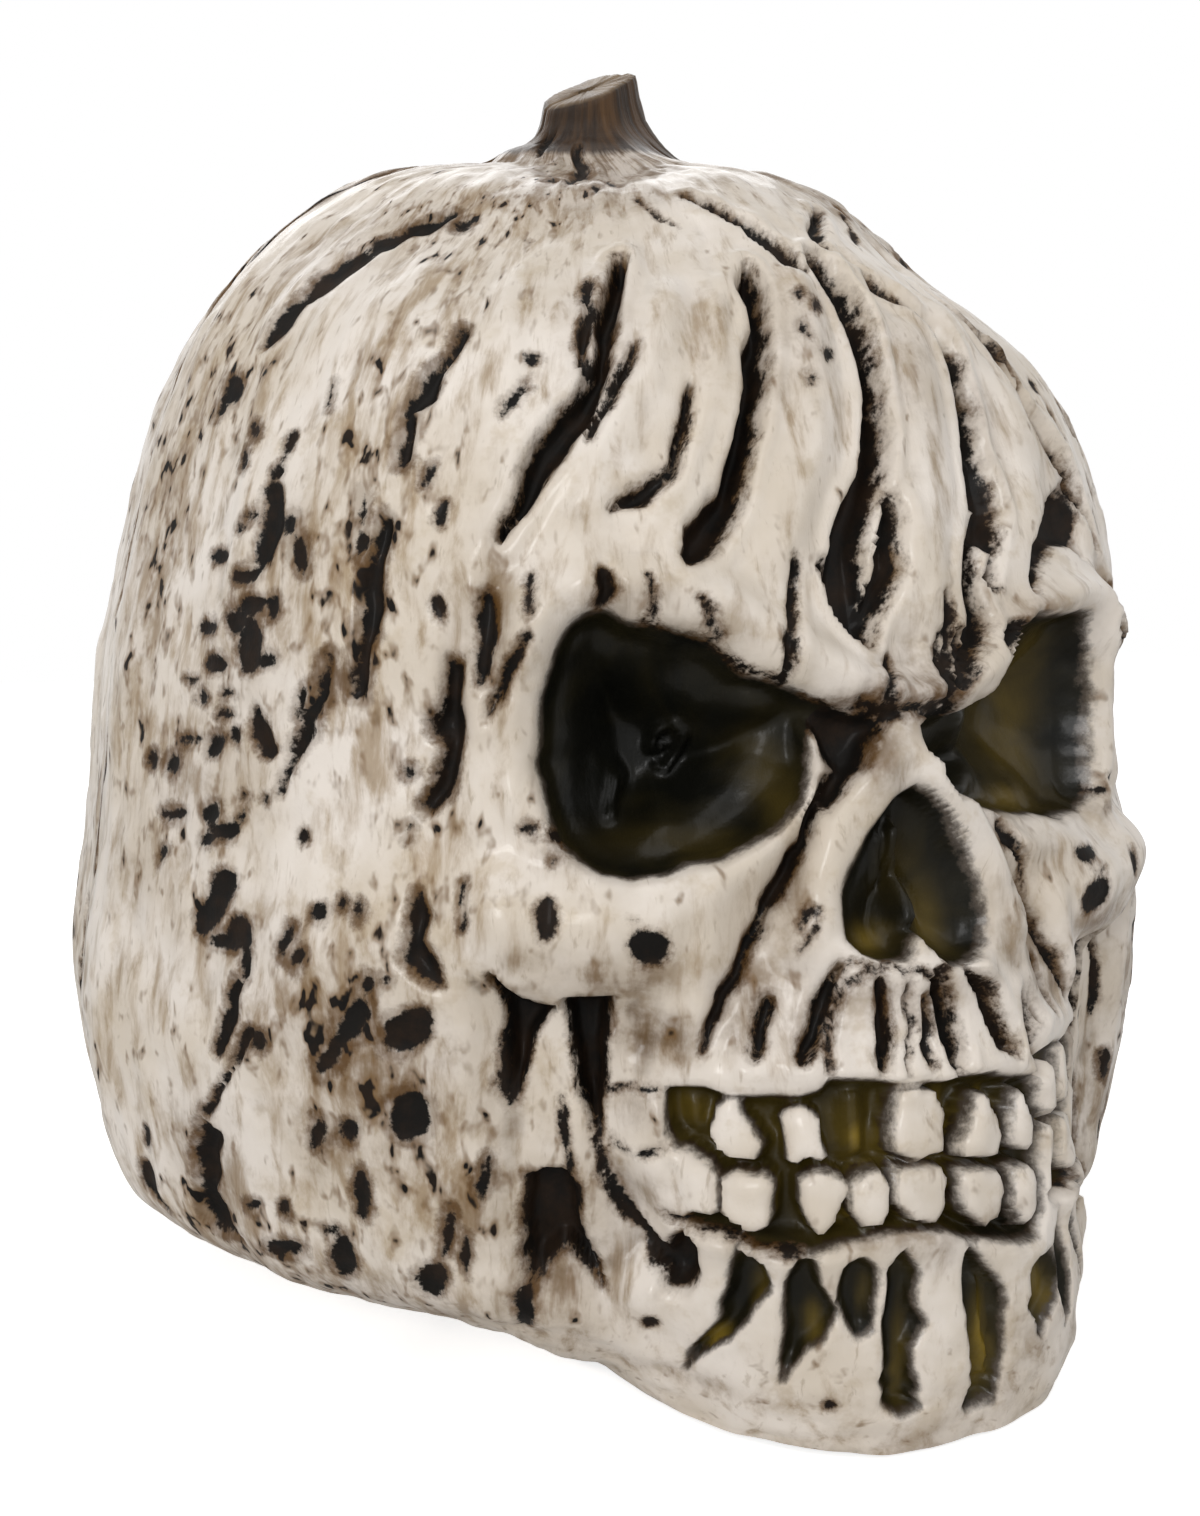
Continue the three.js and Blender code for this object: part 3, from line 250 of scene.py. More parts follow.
class Skin:
    """One shell's outer skin: a grid of points with what is needed to measure and carve along it."""

    def __init__(self, turns, steps):
        self.turns = turns
        self.runs, self.rows = profile_rows(*steps)
        self.points = skin_form(turns, self.rows)
        self.turn, self.run = np.meshgrid(turns, self.runs)
        self.measure()
        self.inward = -self.normals(24)

    def measure(self):
        self.along = np.gradient(self.points, self.turns, axis=1)
        self.up = np.gradient(self.points, self.runs, axis=0)
        self.turn_scale = np.maximum(np.linalg.norm(self.along, axis=-1), 1)
        self.run_scale = np.maximum(np.linalg.norm(self.up, axis=-1), 0.2)

    def normals(self, passes):
        out = np.cross(self.along, self.up)
        out /= np.maximum(np.linalg.norm(out, axis=-1, keepdims=True), 1e-9)
        out = soften(out, passes)
        return out / np.linalg.norm(out, axis=-1, keepdims=True)


def even_turns(stops, steps):
    """Turns about the axis in radians, with the step in degrees that is given for each stretch."""
    parts = [
        np.linspace(a, b, round((b - a) / step), endpoint=False)
        for a, b, step in zip(stops, stops[1:], steps)
    ]
    return np.radians(np.concatenate(parts + [[stops[-1]]]))


front = Skin(even_turns((-90, -48, 40, 90), (0.6, 0.43, 0.9)), (0.93, 1.45, 1.3))

# Swellings of the face: brows, eye rims, cheekbones, jaw struts and gums, as strokes over the photograph.
# Each is a height in millimetres and points of (across, down, half width) in pixels.
swellings = [
    (5, [
        (512, 655, 22), (540, 612, 28), (590, 583, 32), (650, 588, 34), (710, 608, 36), (770, 645, 34),
        (830, 676, 26), (880, 692, 16),
    ]),
    (4, [
        (905, 700, 12), (950, 688, 20), (1000, 655, 22), (1030, 618, 20), (1060, 596, 18), (1105, 600, 12),
    ]),
    (2.5, [(520, 650, 16), (512, 720, 16), (516, 790, 18), (545, 850, 20)]),
    (4.5, [(500, 915, 44), (560, 925, 56), (630, 925, 56), (700, 895, 42), (750, 858, 24), (800, 790, 12)]),
    (3.5, [(700, 900, 34), (705, 960, 28), (700, 1010, 22), (700, 1050, 10)]),
    (3, [(895, 750, 12), (858, 790, 20), (832, 840, 20), (815, 900, 22), (800, 950, 20)]),
    (2.2, [(905, 745, 10), (950, 795, 14), (985, 860, 14), (1010, 920, 14), (1035, 990, 12)]),
    (2, [(850, 968, 12), (900, 970, 14), (945, 968, 12), (985, 965, 10)]),
    (3.2, [(1000, 845, 12), (1050, 845, 18), (1100, 870, 18)]),
    (2, [
        (640, 1076, 12), (700, 1076, 14), (760, 1072, 14), (820, 1068, 12), (900, 1076, 10),
        (1000, 1072, 10),
    ]),
    (1.8, [
        (690, 1236, 10), (750, 1253, 12), (810, 1262, 10), (860, 1252, 10), (930, 1240, 10),
        (1000, 1246, 9), (1040, 1240, 8),
    ]),
    (2, [(470, 565, 20), (484, 640, 12), (478, 740, 12), (482, 830, 16)]),
    (2.2, [(571, 1125, 10), (582, 1186, 12), (612, 1265, 14), (646, 1301, 14)]),
    (2.3, [(664, 300, 20), (645, 400, 24), (596, 470, 26), (560, 550, 24)]),
    (2.3, [(715, 290, 16), (715, 400, 22), (684, 480, 24), (640, 555, 24)]),
    (2.4, [(795, 290, 16), (812, 400, 26), (800, 480, 28), (762, 560, 28)]),
    (2.4, [(900, 340, 16), (922, 430, 24), (922, 520, 28), (915, 600, 26)]),
    (1.9, [(1010, 400, 18), (1022, 480, 18), (1016, 560, 16)]),
    (1.5, [(470, 1290, 22), (560, 1312, 14), (640, 1338, 18)]),
]

# Windows: thin unpainted places where the olive plastic shows and the light comes through.
# Each has a depth, an edge width and a bowl depth in millimetres, and an outline in pixels.
near_socket = [
    (586, 613), (603, 611), (621, 619), (656, 626), (687, 633), (700, 639), (718, 655), (744, 677),
    (779, 685), (806, 696), (832, 705), (814, 727), (810, 771), (802, 798), (784, 820), (762, 842),
    (726, 859), (691, 864), (669, 875), (630, 879), (603, 875), (577, 859), (559, 842), (550, 815),
    (544, 789), (539, 762), (539, 736), (540, 701), (546, 674), (555, 648), (568, 626),
]
far_socket = [
    (944, 758), (930, 746), (921, 730), (930, 717), (962, 715), (995, 694), (1012, 670), (1026, 648),
    (1034, 626), (1048, 615), (1096, 613), (1105, 626), (1107, 648), (1100, 692), (1096, 745), (1089, 771),
    (1083, 806), (1061, 815), (1017, 813), (990, 804), (968, 793), (951, 771),
]
nose_opening = [
    (920, 787), (948, 804), (967, 840), (980, 876), (989, 912), (989, 938), (972, 960), (955, 965),
    (942, 956), (930, 940), (924, 932), (916, 943), (911, 958), (889, 960), (867, 952), (847, 936),
    (843, 912), (845, 886), (854, 864), (867, 842), (880, 820), (898, 800),
]
mouth_opening = [
    (668, 1092), (703, 1093), (722, 1100), (745, 1099), (770, 1098), (800, 1100), (826, 1092), (833, 1082),
    (880, 1084), (900, 1086), (950, 1083), (965, 1078), (1000, 1075), (1040, 1080), (1048, 1110),
    (1048, 1160), (1045, 1200), (1040, 1232), (1024, 1240), (998, 1238), (976, 1242), (954, 1229),
    (892, 1231), (848, 1244), (809, 1257), (787, 1248), (752, 1244), (716, 1230), (690, 1222), (700, 1205),
    (690, 1160), (668, 1130),
]
windows = [
    (7, 3, 13, near_socket),
    (7, 3, 10, far_socket),
    (6, 2.4, 8, nose_opening),
    (3.6, 2, 2, [
        (734, 1252), (756, 1266), (765, 1288), (752, 1305), (734, 1327), (725, 1340), (708, 1349),
        (690, 1362), (681, 1370), (694, 1345), (712, 1327), (725, 1292), (727, 1274),
    ]),
    (3.6, 2, 2, [
        (796, 1263), (811, 1266), (818, 1288), (835, 1314), (822, 1336), (804, 1347), (796, 1362),
        (785, 1380), (780, 1362), (783, 1314), (783, 1283),
    ]),
    (3.2, 2, 2, [
        (846, 1268), (862, 1264), (875, 1274), (872, 1300), (874, 1330), (858, 1339), (846, 1322),
        (838, 1305),
    ]),
    (3.6, 2, 2, [
        (903, 1253), (917, 1274), (914, 1301), (923, 1327), (912, 1349), (917, 1380), (919, 1409),
        (903, 1415), (888, 1406), (886, 1380), (888, 1336), (888, 1274),
    ]),
    (3.6, 2, 2, [
        (967, 1252), (994, 1274), (1005, 1288), (1005, 1336), (1000, 1362), (994, 1402), (983, 1406),
        (972, 1414), (967, 1406), (976, 1380), (974, 1345), (967, 1323), (961, 1292),
    ]),
    (3, 1.6, 1, [(1038, 1257), (1055, 1248), (1060, 1274), (1046, 1318), (1042, 1336), (1029, 1301)]),
    (2.4, 1.4, 1, [(1064, 1250), (1074, 1262), (1076, 1310), (1072, 1356), (1065, 1320)]),
]
mouth_depth = 6.5
teeth = [
    [(620, 1112), (645, 1104), (662, 1110), (667, 1130), (662, 1144), (640, 1147), (622, 1136)],
    [
        (714, 1109), (727, 1099), (736, 1101), (739, 1116), (752, 1127), (765, 1147), (758, 1160),
        (745, 1162), (732, 1164), (716, 1151), (710, 1130),
    ],
    [
        (787, 1107), (804, 1106), (815, 1114), (820, 1120), (822, 1138), (830, 1156), (822, 1160),
        (809, 1156), (798, 1165), (789, 1160), (786, 1138), (782, 1116),
    ],
    [
        (897, 1092), (915, 1088), (935, 1090), (945, 1110), (948, 1140), (946, 1157), (920, 1161),
        (895, 1157), (892, 1130),
    ],
    [
        (980, 1092), (991, 1094), (1002, 1116), (1007, 1138), (1000, 1156), (980, 1158), (967, 1158),
        (965, 1142), (972, 1129), (974, 1112),
    ],
    [
        (1020, 1085), (1027, 1103), (1035, 1125), (1035, 1145), (1029, 1151), (1018, 1145), (1016, 1125),
        (1017, 1103),
    ],
    [
        (650, 1148), (686, 1150), (708, 1162), (719, 1178), (716, 1204), (719, 1215), (699, 1210),
        (679, 1202), (662, 1188), (650, 1169),
    ],
    [
        (722, 1178), (738, 1173), (755, 1176), (765, 1172), (775, 1185), (774, 1215), (765, 1228),
        (745, 1233), (728, 1222), (720, 1205),
    ],
    [
        (800, 1180), (818, 1172), (831, 1171), (844, 1178), (848, 1191), (844, 1204), (835, 1222),
        (824, 1237), (815, 1238), (807, 1226), (802, 1204),
    ],
    [
        (851, 1185), (865, 1177), (882, 1175), (891, 1190), (890, 1210), (880, 1226), (865, 1229),
        (853, 1215),
    ],
    [
        (894, 1172), (915, 1168), (945, 1169), (951, 1178), (948, 1205), (935, 1222), (912, 1221),
        (896, 1205),
    ],
    [
        (966, 1174), (985, 1168), (1003, 1170), (1005, 1195), (1000, 1215), (985, 1228), (970, 1212),
        (964, 1190),
    ],
    [(1016, 1170), (1030, 1164), (1035, 1180), (1033, 1210), (1025, 1228), (1015, 1205)],
]

# Broad recesses that carry no paint of their own: depth and edge width in millimetres, and an outline
recesses = [
    (5, 8, [
        (470, 985), (560, 1008), (640, 1000), (665, 1040), (660, 1090), (640, 1100), (625, 1150),
        (640, 1200), (660, 1260), (600, 1300), (530, 1300), (500, 1200), (490, 1100), (478, 1040),
    ]),
]

# Voids and furrows: deep painted black places, two voids partly painted shade. Outlines as above, and strokes
# of (across, down, half width).
voids = [
    (10, 3, [
        (484, 975), (514, 1003), (560, 1012), (548, 1022), (536, 1037), (523, 1072), (514, 1103),
        (507, 1116), (501, 1060), (496, 1010),
    ]),
    (12, 3, [
        (566, 1003), (590, 1004), (611, 1002), (612, 1030), (606, 1060), (604, 1110), (602, 1148),
        (592, 1130), (576, 1100), (568, 1050),
    ]),
    (9, 3, [
        (523, 1190), (545, 1180), (560, 1178), (575, 1200), (580, 1235), (592, 1270), (604, 1300),
        (590, 1290), (565, 1262), (540, 1290), (528, 1280), (520, 1240),
    ]),
    (6, 3, [(664, 1244), (680, 1238), (692, 1250), (694, 1275), (684, 1292), (668, 1290), (658, 1272)]),
    (4.5, 3, [
        (819, 789), (806, 811), (797, 842), (788, 850), (770, 886), (762, 908), (748, 938), (735, 969),
        (720, 996), (709, 1026), (704, 1053), (716, 1030), (733, 990), (752, 950), (768, 912), (784, 880),
        (808, 830), (826, 775),
    ]),
    (4, 3, [
        (1068, 478), (1078, 500), (1088, 540), (1098, 560), (1088, 563), (1072, 546), (1055, 543),
        (1044, 560), (1038, 590), (1033, 575), (1035, 545), (1045, 515), (1058, 495),
    ]),
    # partly painted shade: the black of this void and the next stands in part for shade under the brow by the
    # nose bridge and under the far cheekbone
    (5, 3, [
        (806, 697), (832, 704), (862, 712), (884, 716), (878, 728), (866, 742), (862, 765), (846, 776),
        (838, 796), (826, 812), (820, 800), (826, 780), (832, 768), (824, 748), (818, 730), (808, 716),
    ]),
    (4, 3, [(1046, 918), (1072, 921), (1060, 935), (1050, 950), (1042, 960), (1040, 940)]),
    (3, 2, [(1008, 622), (1030, 618), (1024, 640), (1015, 652), (1006, 642)]),
    (3.5, 4, [
        (445, 655), (460, 665), (458, 700), (462, 740), (455, 790), (440, 800), (426, 812), (420, 805),
        (438, 772), (446, 742), (430, 735), (426, 718), (438, 700),
    ]),
    (2.5, 4, [
        (418, 893), (425, 915), (420, 935), (430, 960), (440, 990), (425, 985), (410, 976), (399, 960),
        (405, 930), (409, 910),
    ]),
    (3, 4, [
        (198, 1125), (215, 1140), (210, 1155), (215, 1175), (207, 1190), (220, 1210), (235, 1240),
        (215, 1235), (198, 1215), (192, 1195), (196, 1175), (190, 1155),
    ]),
]
furrows = [
    (3.4, [
        (620, 262, 5), (614, 280, 7), (608, 300, 7), (603, 320, 9), (606, 335, 8), (600, 350, 5),
        (606, 365, 6), (596, 385, 10), (583, 405, 12), (567, 425, 14), (545, 452, 14), (530, 475, 12),
        (520, 500, 7), (508, 520, 4), (500, 540, 2),
    ]),
    (1.2, [(590, 310, 4), (583, 335, 5), (580, 360, 4), (590, 368, 6)]),
    (1.4, [(636, 345, 2), (628, 370, 3), (615, 395, 4), (598, 418, 4), (588, 440, 3)]),
    (2, [
        (690, 385, 3), (685, 410, 4), (675, 445, 4), (668, 470, 5), (650, 485, 7), (632, 500, 6),
        (612, 506, 2),
    ]),
    (3.6, [
        (745, 270, 5), (748, 290, 11), (757, 310, 8), (760, 335, 8), (755, 360, 10), (755, 390, 9),
        (750, 420, 9), (743, 450, 9), (735, 475, 10), (728, 500, 13), (712, 520, 16), (700, 540, 16),
        (692, 555, 10),
    ]),
    (4, [
        (817, 258, 5), (828, 275, 9), (845, 305, 8), (858, 335, 8), (866, 365, 8), (872, 400, 9),
        (875, 430, 10), (873, 460, 11), (868, 490, 13), (858, 520, 15), (848, 560, 16), (846, 590, 18),
        (858, 620, 14), (867, 644, 3),
    ]),
    (3, [(890, 500, 5), (894, 525, 8), (890, 555, 10), (880, 590, 11), (868, 625, 7)]),
    (2, [(822, 565, 5), (832, 600, 4)]),
    (3.6, [
        (826, 245, 2), (850, 258, 3), (880, 280, 3), (905, 300, 5), (930, 325, 6), (945, 350, 7),
        (955, 375, 7), (963, 410, 8), (968, 440, 9), (975, 475, 12), (982, 505, 14), (984, 530, 10),
    ]),
    (3, [(972, 530, 6), (968, 560, 6), (970, 590, 8), (977, 615, 10), (978, 640, 9), (970, 661, 4)]),
    (2, [(994, 530, 5), (992, 555, 4), (988, 580, 4)]),
    (1, [(945, 335, 2), (957, 360, 4), (964, 385, 2)]),
    (1.6, [
        (688, 196, 2), (700, 202, 3), (725, 215, 3), (750, 225, 4), (764, 238, 7), (780, 252, 5),
        (795, 268, 4),
    ]),
    (4, [(598, 1147, 3), (602, 1178, 6), (615, 1213, 7), (642, 1244, 7), (659, 1266, 9)]),
    (1.5, [(795, 560, 3), (791, 600, 4), (788, 640, 5), (784, 684, 4)]),
    (2, [(770, 1000, 6), (762, 1030, 6), (756, 1056, 4)]),
    (1.6, [(838, 990, 2), (834, 1030, 3), (832, 1070, 2)]),
    (1.6, [(908, 985, 1.5), (912, 1030, 2), (908, 1066, 1.5)]),
    (2.4, [(842, 965, 4), (826, 1000, 8), (815, 1040, 8), (803, 1060, 4)]),
    (2.6, [(882, 980, 3), (886, 1010, 6), (886, 1045, 6), (882, 1070, 4)]),
    (1.4, [(925, 1000, 2), (928, 1040, 4), (932, 1062, 3)]),
    (3, [(938, 985, 6), (944, 1015, 8), (956, 1050, 8), (964, 1068, 4)]),
    (3, [(970, 972, 4), (985, 1000, 8), (1000, 1030, 9), (1012, 1045, 4)]),
    (2.4, [(1024, 1000, 4), (1035, 1040, 6), (1044, 1066, 4)]),
    (2, [(497, 1040, 3), (500, 1090, 5), (505, 1115, 3)]),
    (1.6, [(556, 1107, 3), (562, 1140, 4), (566, 1184, 3)]),
    (1.2, [(885, 664, 2), (887, 690, 3), (883, 716, 2)]),
    (2, [(600, 574, 5), (606, 590, 7), (598, 604, 4)]),
    (1, [(646, 575, 2), (652, 600, 3), (652, 620, 2)]),
    (1, [(700, 600, 2), (708, 622, 3), (716, 640, 2)]),
    (1.2, [(945, 600, 3), (949, 640, 4), (950, 692, 3)]),
    (1, [(530, 575, 2), (527, 612, 2)]),
    (1, [
        (852, 962, 1.5), (868, 968, 1.5), (880, 976, 1.5), (893, 964, 1.5), (905, 972, 1.5),
        (918, 968, 1.5), (930, 976, 1.5), (950, 966, 1.5),
    ]),
    (1.2, [(612, 1100, 3), (630, 1092, 3), (655, 1094, 3)]),
    (1.2, [(615, 1148, 2), (640, 1152, 2.5), (665, 1148, 2)]),
    (1.5, [(665, 1215, 3), (700, 1226, 3), (750, 1240, 3), (800, 1256, 3)]),
    (1.4, [(1000, 826, 3), (1012, 842, 5), (1022, 862, 3)]),
    (1.2, [(487, 600, 8), (484, 640, 9), (478, 680, 5)]),
    (1.2, [(524, 634, 3), (508, 660, 6), (498, 700, 4), (490, 720, 2)]),
    (1.2, [
        (462, 330, 5), (455, 350, 3), (432, 378, 6), (425, 398, 9), (408, 415, 3), (411, 430, 5),
        (403, 460, 5),
    ]),
    (1.2, [
        (385, 522, 8), (375, 558, 6), (369, 590, 9), (371, 606, 9), (362, 640, 4), (357, 670, 7),
        (355, 690, 6),
    ]),
    (0.8, [(352, 262, 8), (330, 280, 8), (305, 298, 3), (283, 322, 6), (268, 342, 2)]),
    (0.8, [(448, 214, 4), (428, 224, 6), (408, 233, 3)]),
    (0.8, [(270, 492, 7), (272, 525, 8), (262, 556, 8)]),
    (0.8, [(330, 655, 3), (322, 695, 6), (304, 735, 6), (290, 760, 3), (280, 795, 3)]),
    (0.8, [(305, 690, 3), (298, 718, 3)]),
    (0.8, [(256, 712, 5), (260, 735, 8), (266, 752, 7)]),
    (1, [(236, 985, 5), (228, 1012, 8), (215, 1045, 4)]),
    (0.8, [(250, 1030, 5), (236, 1055, 3), (220, 1082, 3), (204, 1115, 3)]),
    (0.6, [(525, 385, 3), (512, 402, 5), (503, 416, 2)]),
    (0.6, [(147, 1170, 4), (150, 1188, 5), (165, 1205, 2)]),
    (0.5, [(382, 246, 7), (398, 238, 3)]),
    (1.6, [(862, 700, 4), (885, 711, 5), (905, 706, 4), (930, 708, 6), (950, 715, 6)]),
    (0.6, [(548, 138, 2), (543, 147, 2), (538, 155, 1)]),
    (0.6, [(579, 142, 1), (576, 152, 3), (574, 164, 4), (566, 174, 2)]),
    (0.6, [(556, 161, 2), (549, 167, 2)]),
    (0.6, [(604, 156, 1), (607, 166, 3), (614, 176, 2)]),
    (0.4, [(596, 182, 3), (594, 190, 1)]),
    (0.5, [(640, 198, 1), (650, 206, 1), (661, 216, 2), (676, 226, 1)]),
    (2, [(960, 636, 5), (966, 660, 7), (963, 686, 4)]),
    (1.4, [(938, 636, 2), (942, 668, 4), (946, 696, 4), (956, 712, 3)]),
    (1, [(884, 660, 2), (889, 688, 3), (893, 712, 3)]),
    (0.6, [(796, 925, 1), (806, 908, 1.5), (816, 905, 1), (812, 930, 1.5), (798, 948, 1)]),
    (0.6, [(842, 1000, 1), (850, 985, 1.5), (862, 978, 1)]),
    (0.8, [(640, 618, 1), (668, 632, 3), (700, 648, 4), (728, 662, 5), (752, 672, 3), (780, 680, 2)]),
]
# across, down, half width, half height and lean in pixels
stains = [
    (546, 920, 11, 20, 0), (645, 945, 24, 19, 0), (630, 922, 5, 3, 0), (1085, 858, 14, 17, 0),
    (1066, 908, 12, 5, 0), (1027, 881, 6, 15, 8), (832, 1405, 3, 3, 0), (648, 1322, 9, 4, 0),
    (232, 392, 8, 15, -4), (222, 412, 4, 9, -4), (257, 430, 4, 8, 0), (288, 440, 4, 12, -4),
    (277, 470, 5, 6, 0), (252, 517, 6, 5, 0), (243, 527, 4, 5, 0), (287, 524, 7, 9, 0),
    (300, 552, 6, 20, 2), (218, 556, 9, 8, 0), (247, 575, 13, 6, 0), (250, 606, 16, 9, 0),
    (236, 618, 9, 12, 0), (250, 645, 12, 30, 0), (206, 625, 9, 6, 0), (214, 661, 12, 9, 0),
    (268, 662, 8, 8, 0), (274, 608, 5, 12, 0), (190, 677, 6, 3, 0), (201, 694, 7, 8, 0),
    (228, 693, 6, 4, 0), (224, 712, 9, 5, 0), (328, 394, 3, 14, -3), (362, 505, 3, 14, 0),
    (361, 540, 7, 12, 0), (370, 630, 4, 7, 0), (530, 358, 7, 6, 0), (445, 516, 4, 12, -4),
    (440, 610, 5, 10, 0), (408, 775, 5, 4, 0), (405, 831, 4, 9, -4), (214, 745, 8, 13, -6),
    (190, 741, 11, 5, -2), (236, 735, 4, 9, 0), (152, 762, 5, 8, 2), (173, 766, 6, 10, 0),
    (174, 812, 12, 6, 0), (163, 855, 4, 8, -3), (240, 796, 4, 5, 0), (263, 802, 4, 5, 0),
    (212, 812, 9, 10, 0), (222, 830, 13, 9, 0), (206, 840, 8, 7, 0), (238, 816, 4, 5, 0),
    (300, 838, 6, 8, 0), (220, 885, 12, 16, -4), (207, 912, 12, 22, -8), (238, 930, 13, 16, 4),
    (246, 958, 5, 22, 2), (222, 940, 18, 8, 0), (318, 912, 7, 9, 0), (340, 905, 6, 8, 0),
    (358, 911, 3, 9, 0), (288, 938, 5, 15, -3), (299, 958, 4, 9, 0), (228, 1008, 7, 26, -6),
    (258, 1038, 7, 9, 0), (255, 1205, 8, 5, 0), (285, 1208, 4, 9, 0), (286, 1249, 15, 9, 6),
    (341, 1257, 12, 24, 4), (325, 1228, 9, 4, 0), (361, 1195, 8, 25, 0), (430, 1278, 15, 15, 0),
    (352, 1020, 13, 22, -6), (332, 1052, 9, 20, -12), (405, 1032, 22, 24, -10), (410, 1118, 19, 24, 0),
    (346, 1130, 9, 9, 0), (316, 1132, 6, 18, -4), (521, 1308, 9, 18, 0), (445, 1235, 4, 22, -4),
    (465, 1256, 4, 16, 0), (484, 1180, 6, 20, -4), (810, 380, 6, 7, 0), (828, 354, 5, 6, 0),
    (805, 330, 4, 8, 4), (797, 298, 3, 5, 0), (815, 305, 3, 5, 0), (585, 295, 5, 12, -2),
    (555, 836, 8, 5, 0), (552, 862, 5, 5, 0), (528, 828, 9, 6, 0), (461, 905, 3, 24, 0),
    (366, 985, 6, 9, 0), (430, 475, 4, 11, -3), (462, 224, 7, 4, 0), (245, 460, 4, 8, 0),
    (380, 980, 3, 4, 0), (1022, 690, 3, 6, 0), (996, 590, 6, 4, 0), (147, 1135, 3, 10, 0),
]
# soft brown wash, with painted shade under the cheekbones, by the nose bridge and on shaded ridge sides:
# across, down, half width, half height, strength
washes = [
    (590, 175, 75, 34, 0.9), (420, 215, 60, 20, 0.5), (700, 175, 90, 14, 0.4), (600, 330, 40, 60, 0.5),
    (240, 650, 60, 90, 0.35), (200, 780, 60, 70, 0.45), (150, 860, 40, 60, 0.35), (230, 940, 70, 50, 0.4),
    (380, 1080, 80, 80, 0.75), (330, 1130, 50, 50, 0.5), (492, 620, 26, 70, 0.9), (455, 700, 24, 70, 0.6),
    (875, 750, 26, 34, 0.95), (860, 700, 40, 18, 0.8), (940, 700, 40, 16, 0.7), (690, 640, 50, 20, 0.8),
    (640, 1035, 34, 36, 0.9), (545, 1300, 60, 26, 0.8), (650, 1110, 40, 30, 0.6), (640, 1200, 40, 30, 0.6),
    (800, 330, 36, 60, 0.5), (760, 990, 30, 50, 0.8), (1000, 830, 30, 30, 0.5), (1050, 610, 50, 18, 0.7),
    (1100, 680, 14, 80, 0.6), (940, 1430, 120, 16, 0.4), (700, 1380, 160, 14, 0.35),
    (300, 1280, 160, 16, 0.5), (205, 1170, 34, 60, 0.7), (470, 1220, 40, 50, 0.5), (810, 1010, 34, 50, 0.7),
    (1020, 930, 20, 60, 0.6), (560, 860, 30, 20, 0.6), (150, 560, 30, 160, 0.35), (340, 250, 60, 30, 0.35),
    (930, 690, 60, 34, 1), (620, 980, 80, 22, 0.9), (590, 190, 110, 20, 0.8), (845, 740, 40, 40, 0.9),
    (1020, 900, 40, 50, 0.6), (740, 1250, 60, 12, 0.5), (900, 1000, 120, 20, 0.5), (330, 1020, 90, 60, 0.6),
    (1090, 870, 24, 30, 0.5), (900, 1240, 150, 12, 0.6), (620, 600, 60, 16, 0.5), (290, 540, 30, 40, 0.5),
    (530, 960, 40, 14, 0.6), (925, 385, 26, 60, 0.5), (985, 420, 14, 50, 0.45), (1050, 430, 24, 60, 0.4),
    (780, 385, 20, 50, 0.35), (940, 1245, 34, 24, 0.5), (1040, 1330, 30, 60, 0.4), (1110, 620, 14, 60, 0.4),
    (1000, 1390, 50, 30, 0.35), (508, 1060, 14, 60, 0.8), (565, 1240, 46, 70, 0.7),
    (672, 1040, 26, 30, 0.9), (735, 1030, 16, 30, 0.8), (850, 1000, 60, 24, 0.5), (875, 400, 12, 70, 0.4),
    (790, 900, 24, 70, 0.6), (800, 970, 26, 40, 0.6), (1030, 960, 20, 40, 0.6), (700, 330, 14, 50, 0.3),
]
# painted glow: amber colour and a faint emission where light comes through the thin plastic
glows = [
    (1080, 720, 26, 90, 0.5), (1050, 800, 34, 14, 0.5), (885, 935, 24, 16, 0.8), (960, 915, 16, 34, 0.45),
    (930, 860, 26, 40, 0.2), (860, 1170, 190, 80, 0.4), (690, 1115, 24, 20, 0.6), (960, 1120, 8, 34, 1),
    (865, 1145, 9, 16, 1.1), (775, 1190, 10, 26, 0.6), (860, 1120, 26, 30, 0.25), (755, 1290, 10, 18, 0.5),
    (714, 1348, 16, 12, 1.1), (812, 1330, 10, 18, 0.6), (866, 1300, 7, 18, 0.5), (908, 1350, 7, 44, 0.6),
    (990, 1340, 8, 44, 1), (1010, 1120, 6, 30, 0.9), (955, 1195, 7, 26, 0.7), (845, 1225, 12, 12, 0.8),
    (1050, 1290, 8, 30, 0.7), (690, 845, 110, 16, 0.2), (780, 790, 24, 40, 0.18),
]
# folds inside the windows: height in millimetres and strokes as above
lining_folds = [
    (3, [
        (668, 748, 6), (676, 730, 6), (692, 722, 6), (703, 735, 6), (697, 756, 6), (683, 772, 6),
        (672, 770, 5),
    ]),
    (2.4, [(674, 752, 4), (690, 742, 4)]),
    (3.4, [(762, 715, 30), (752, 770, 34), (710, 808, 30), (660, 826, 24)]),
    (1.6, [(575, 640, 20), (630, 680, 22), (700, 700, 20)]),
    (3, [(622, 780, 10), (616, 815, 10)]),
    (5, [(924, 935, 8), (918, 880, 8), (908, 830, 7)]),
    (2, [(893, 835, 4), (897, 880, 4)]),
    (3, [(985, 720, 16), (1012, 760, 16), (985, 785, 12)]),
    (2.5, [(862, 1100, 12), (865, 1160, 12)]),
    (2, [(690, 1110, 10), (695, 1135, 9)]),
    (2.4, [(982, 1285, 4), (986, 1330, 4), (992, 1375, 4)]),
]

# Carving: the marks above are laid on the skin through the photograph's camera and cut into it. A mark is
# looked for up to mark_margin off, FAR stands for no mark, and widest_pixel is for places seen edge on.
FAR = -12.0
mark_margin = 12
widest_pixel = 0.45
swelling_share, furrow_share, lip_share = 1.35, 1.35, 0.3
bowl_width, stain_depth, tooth_edge = 16, 0.6, 1.1


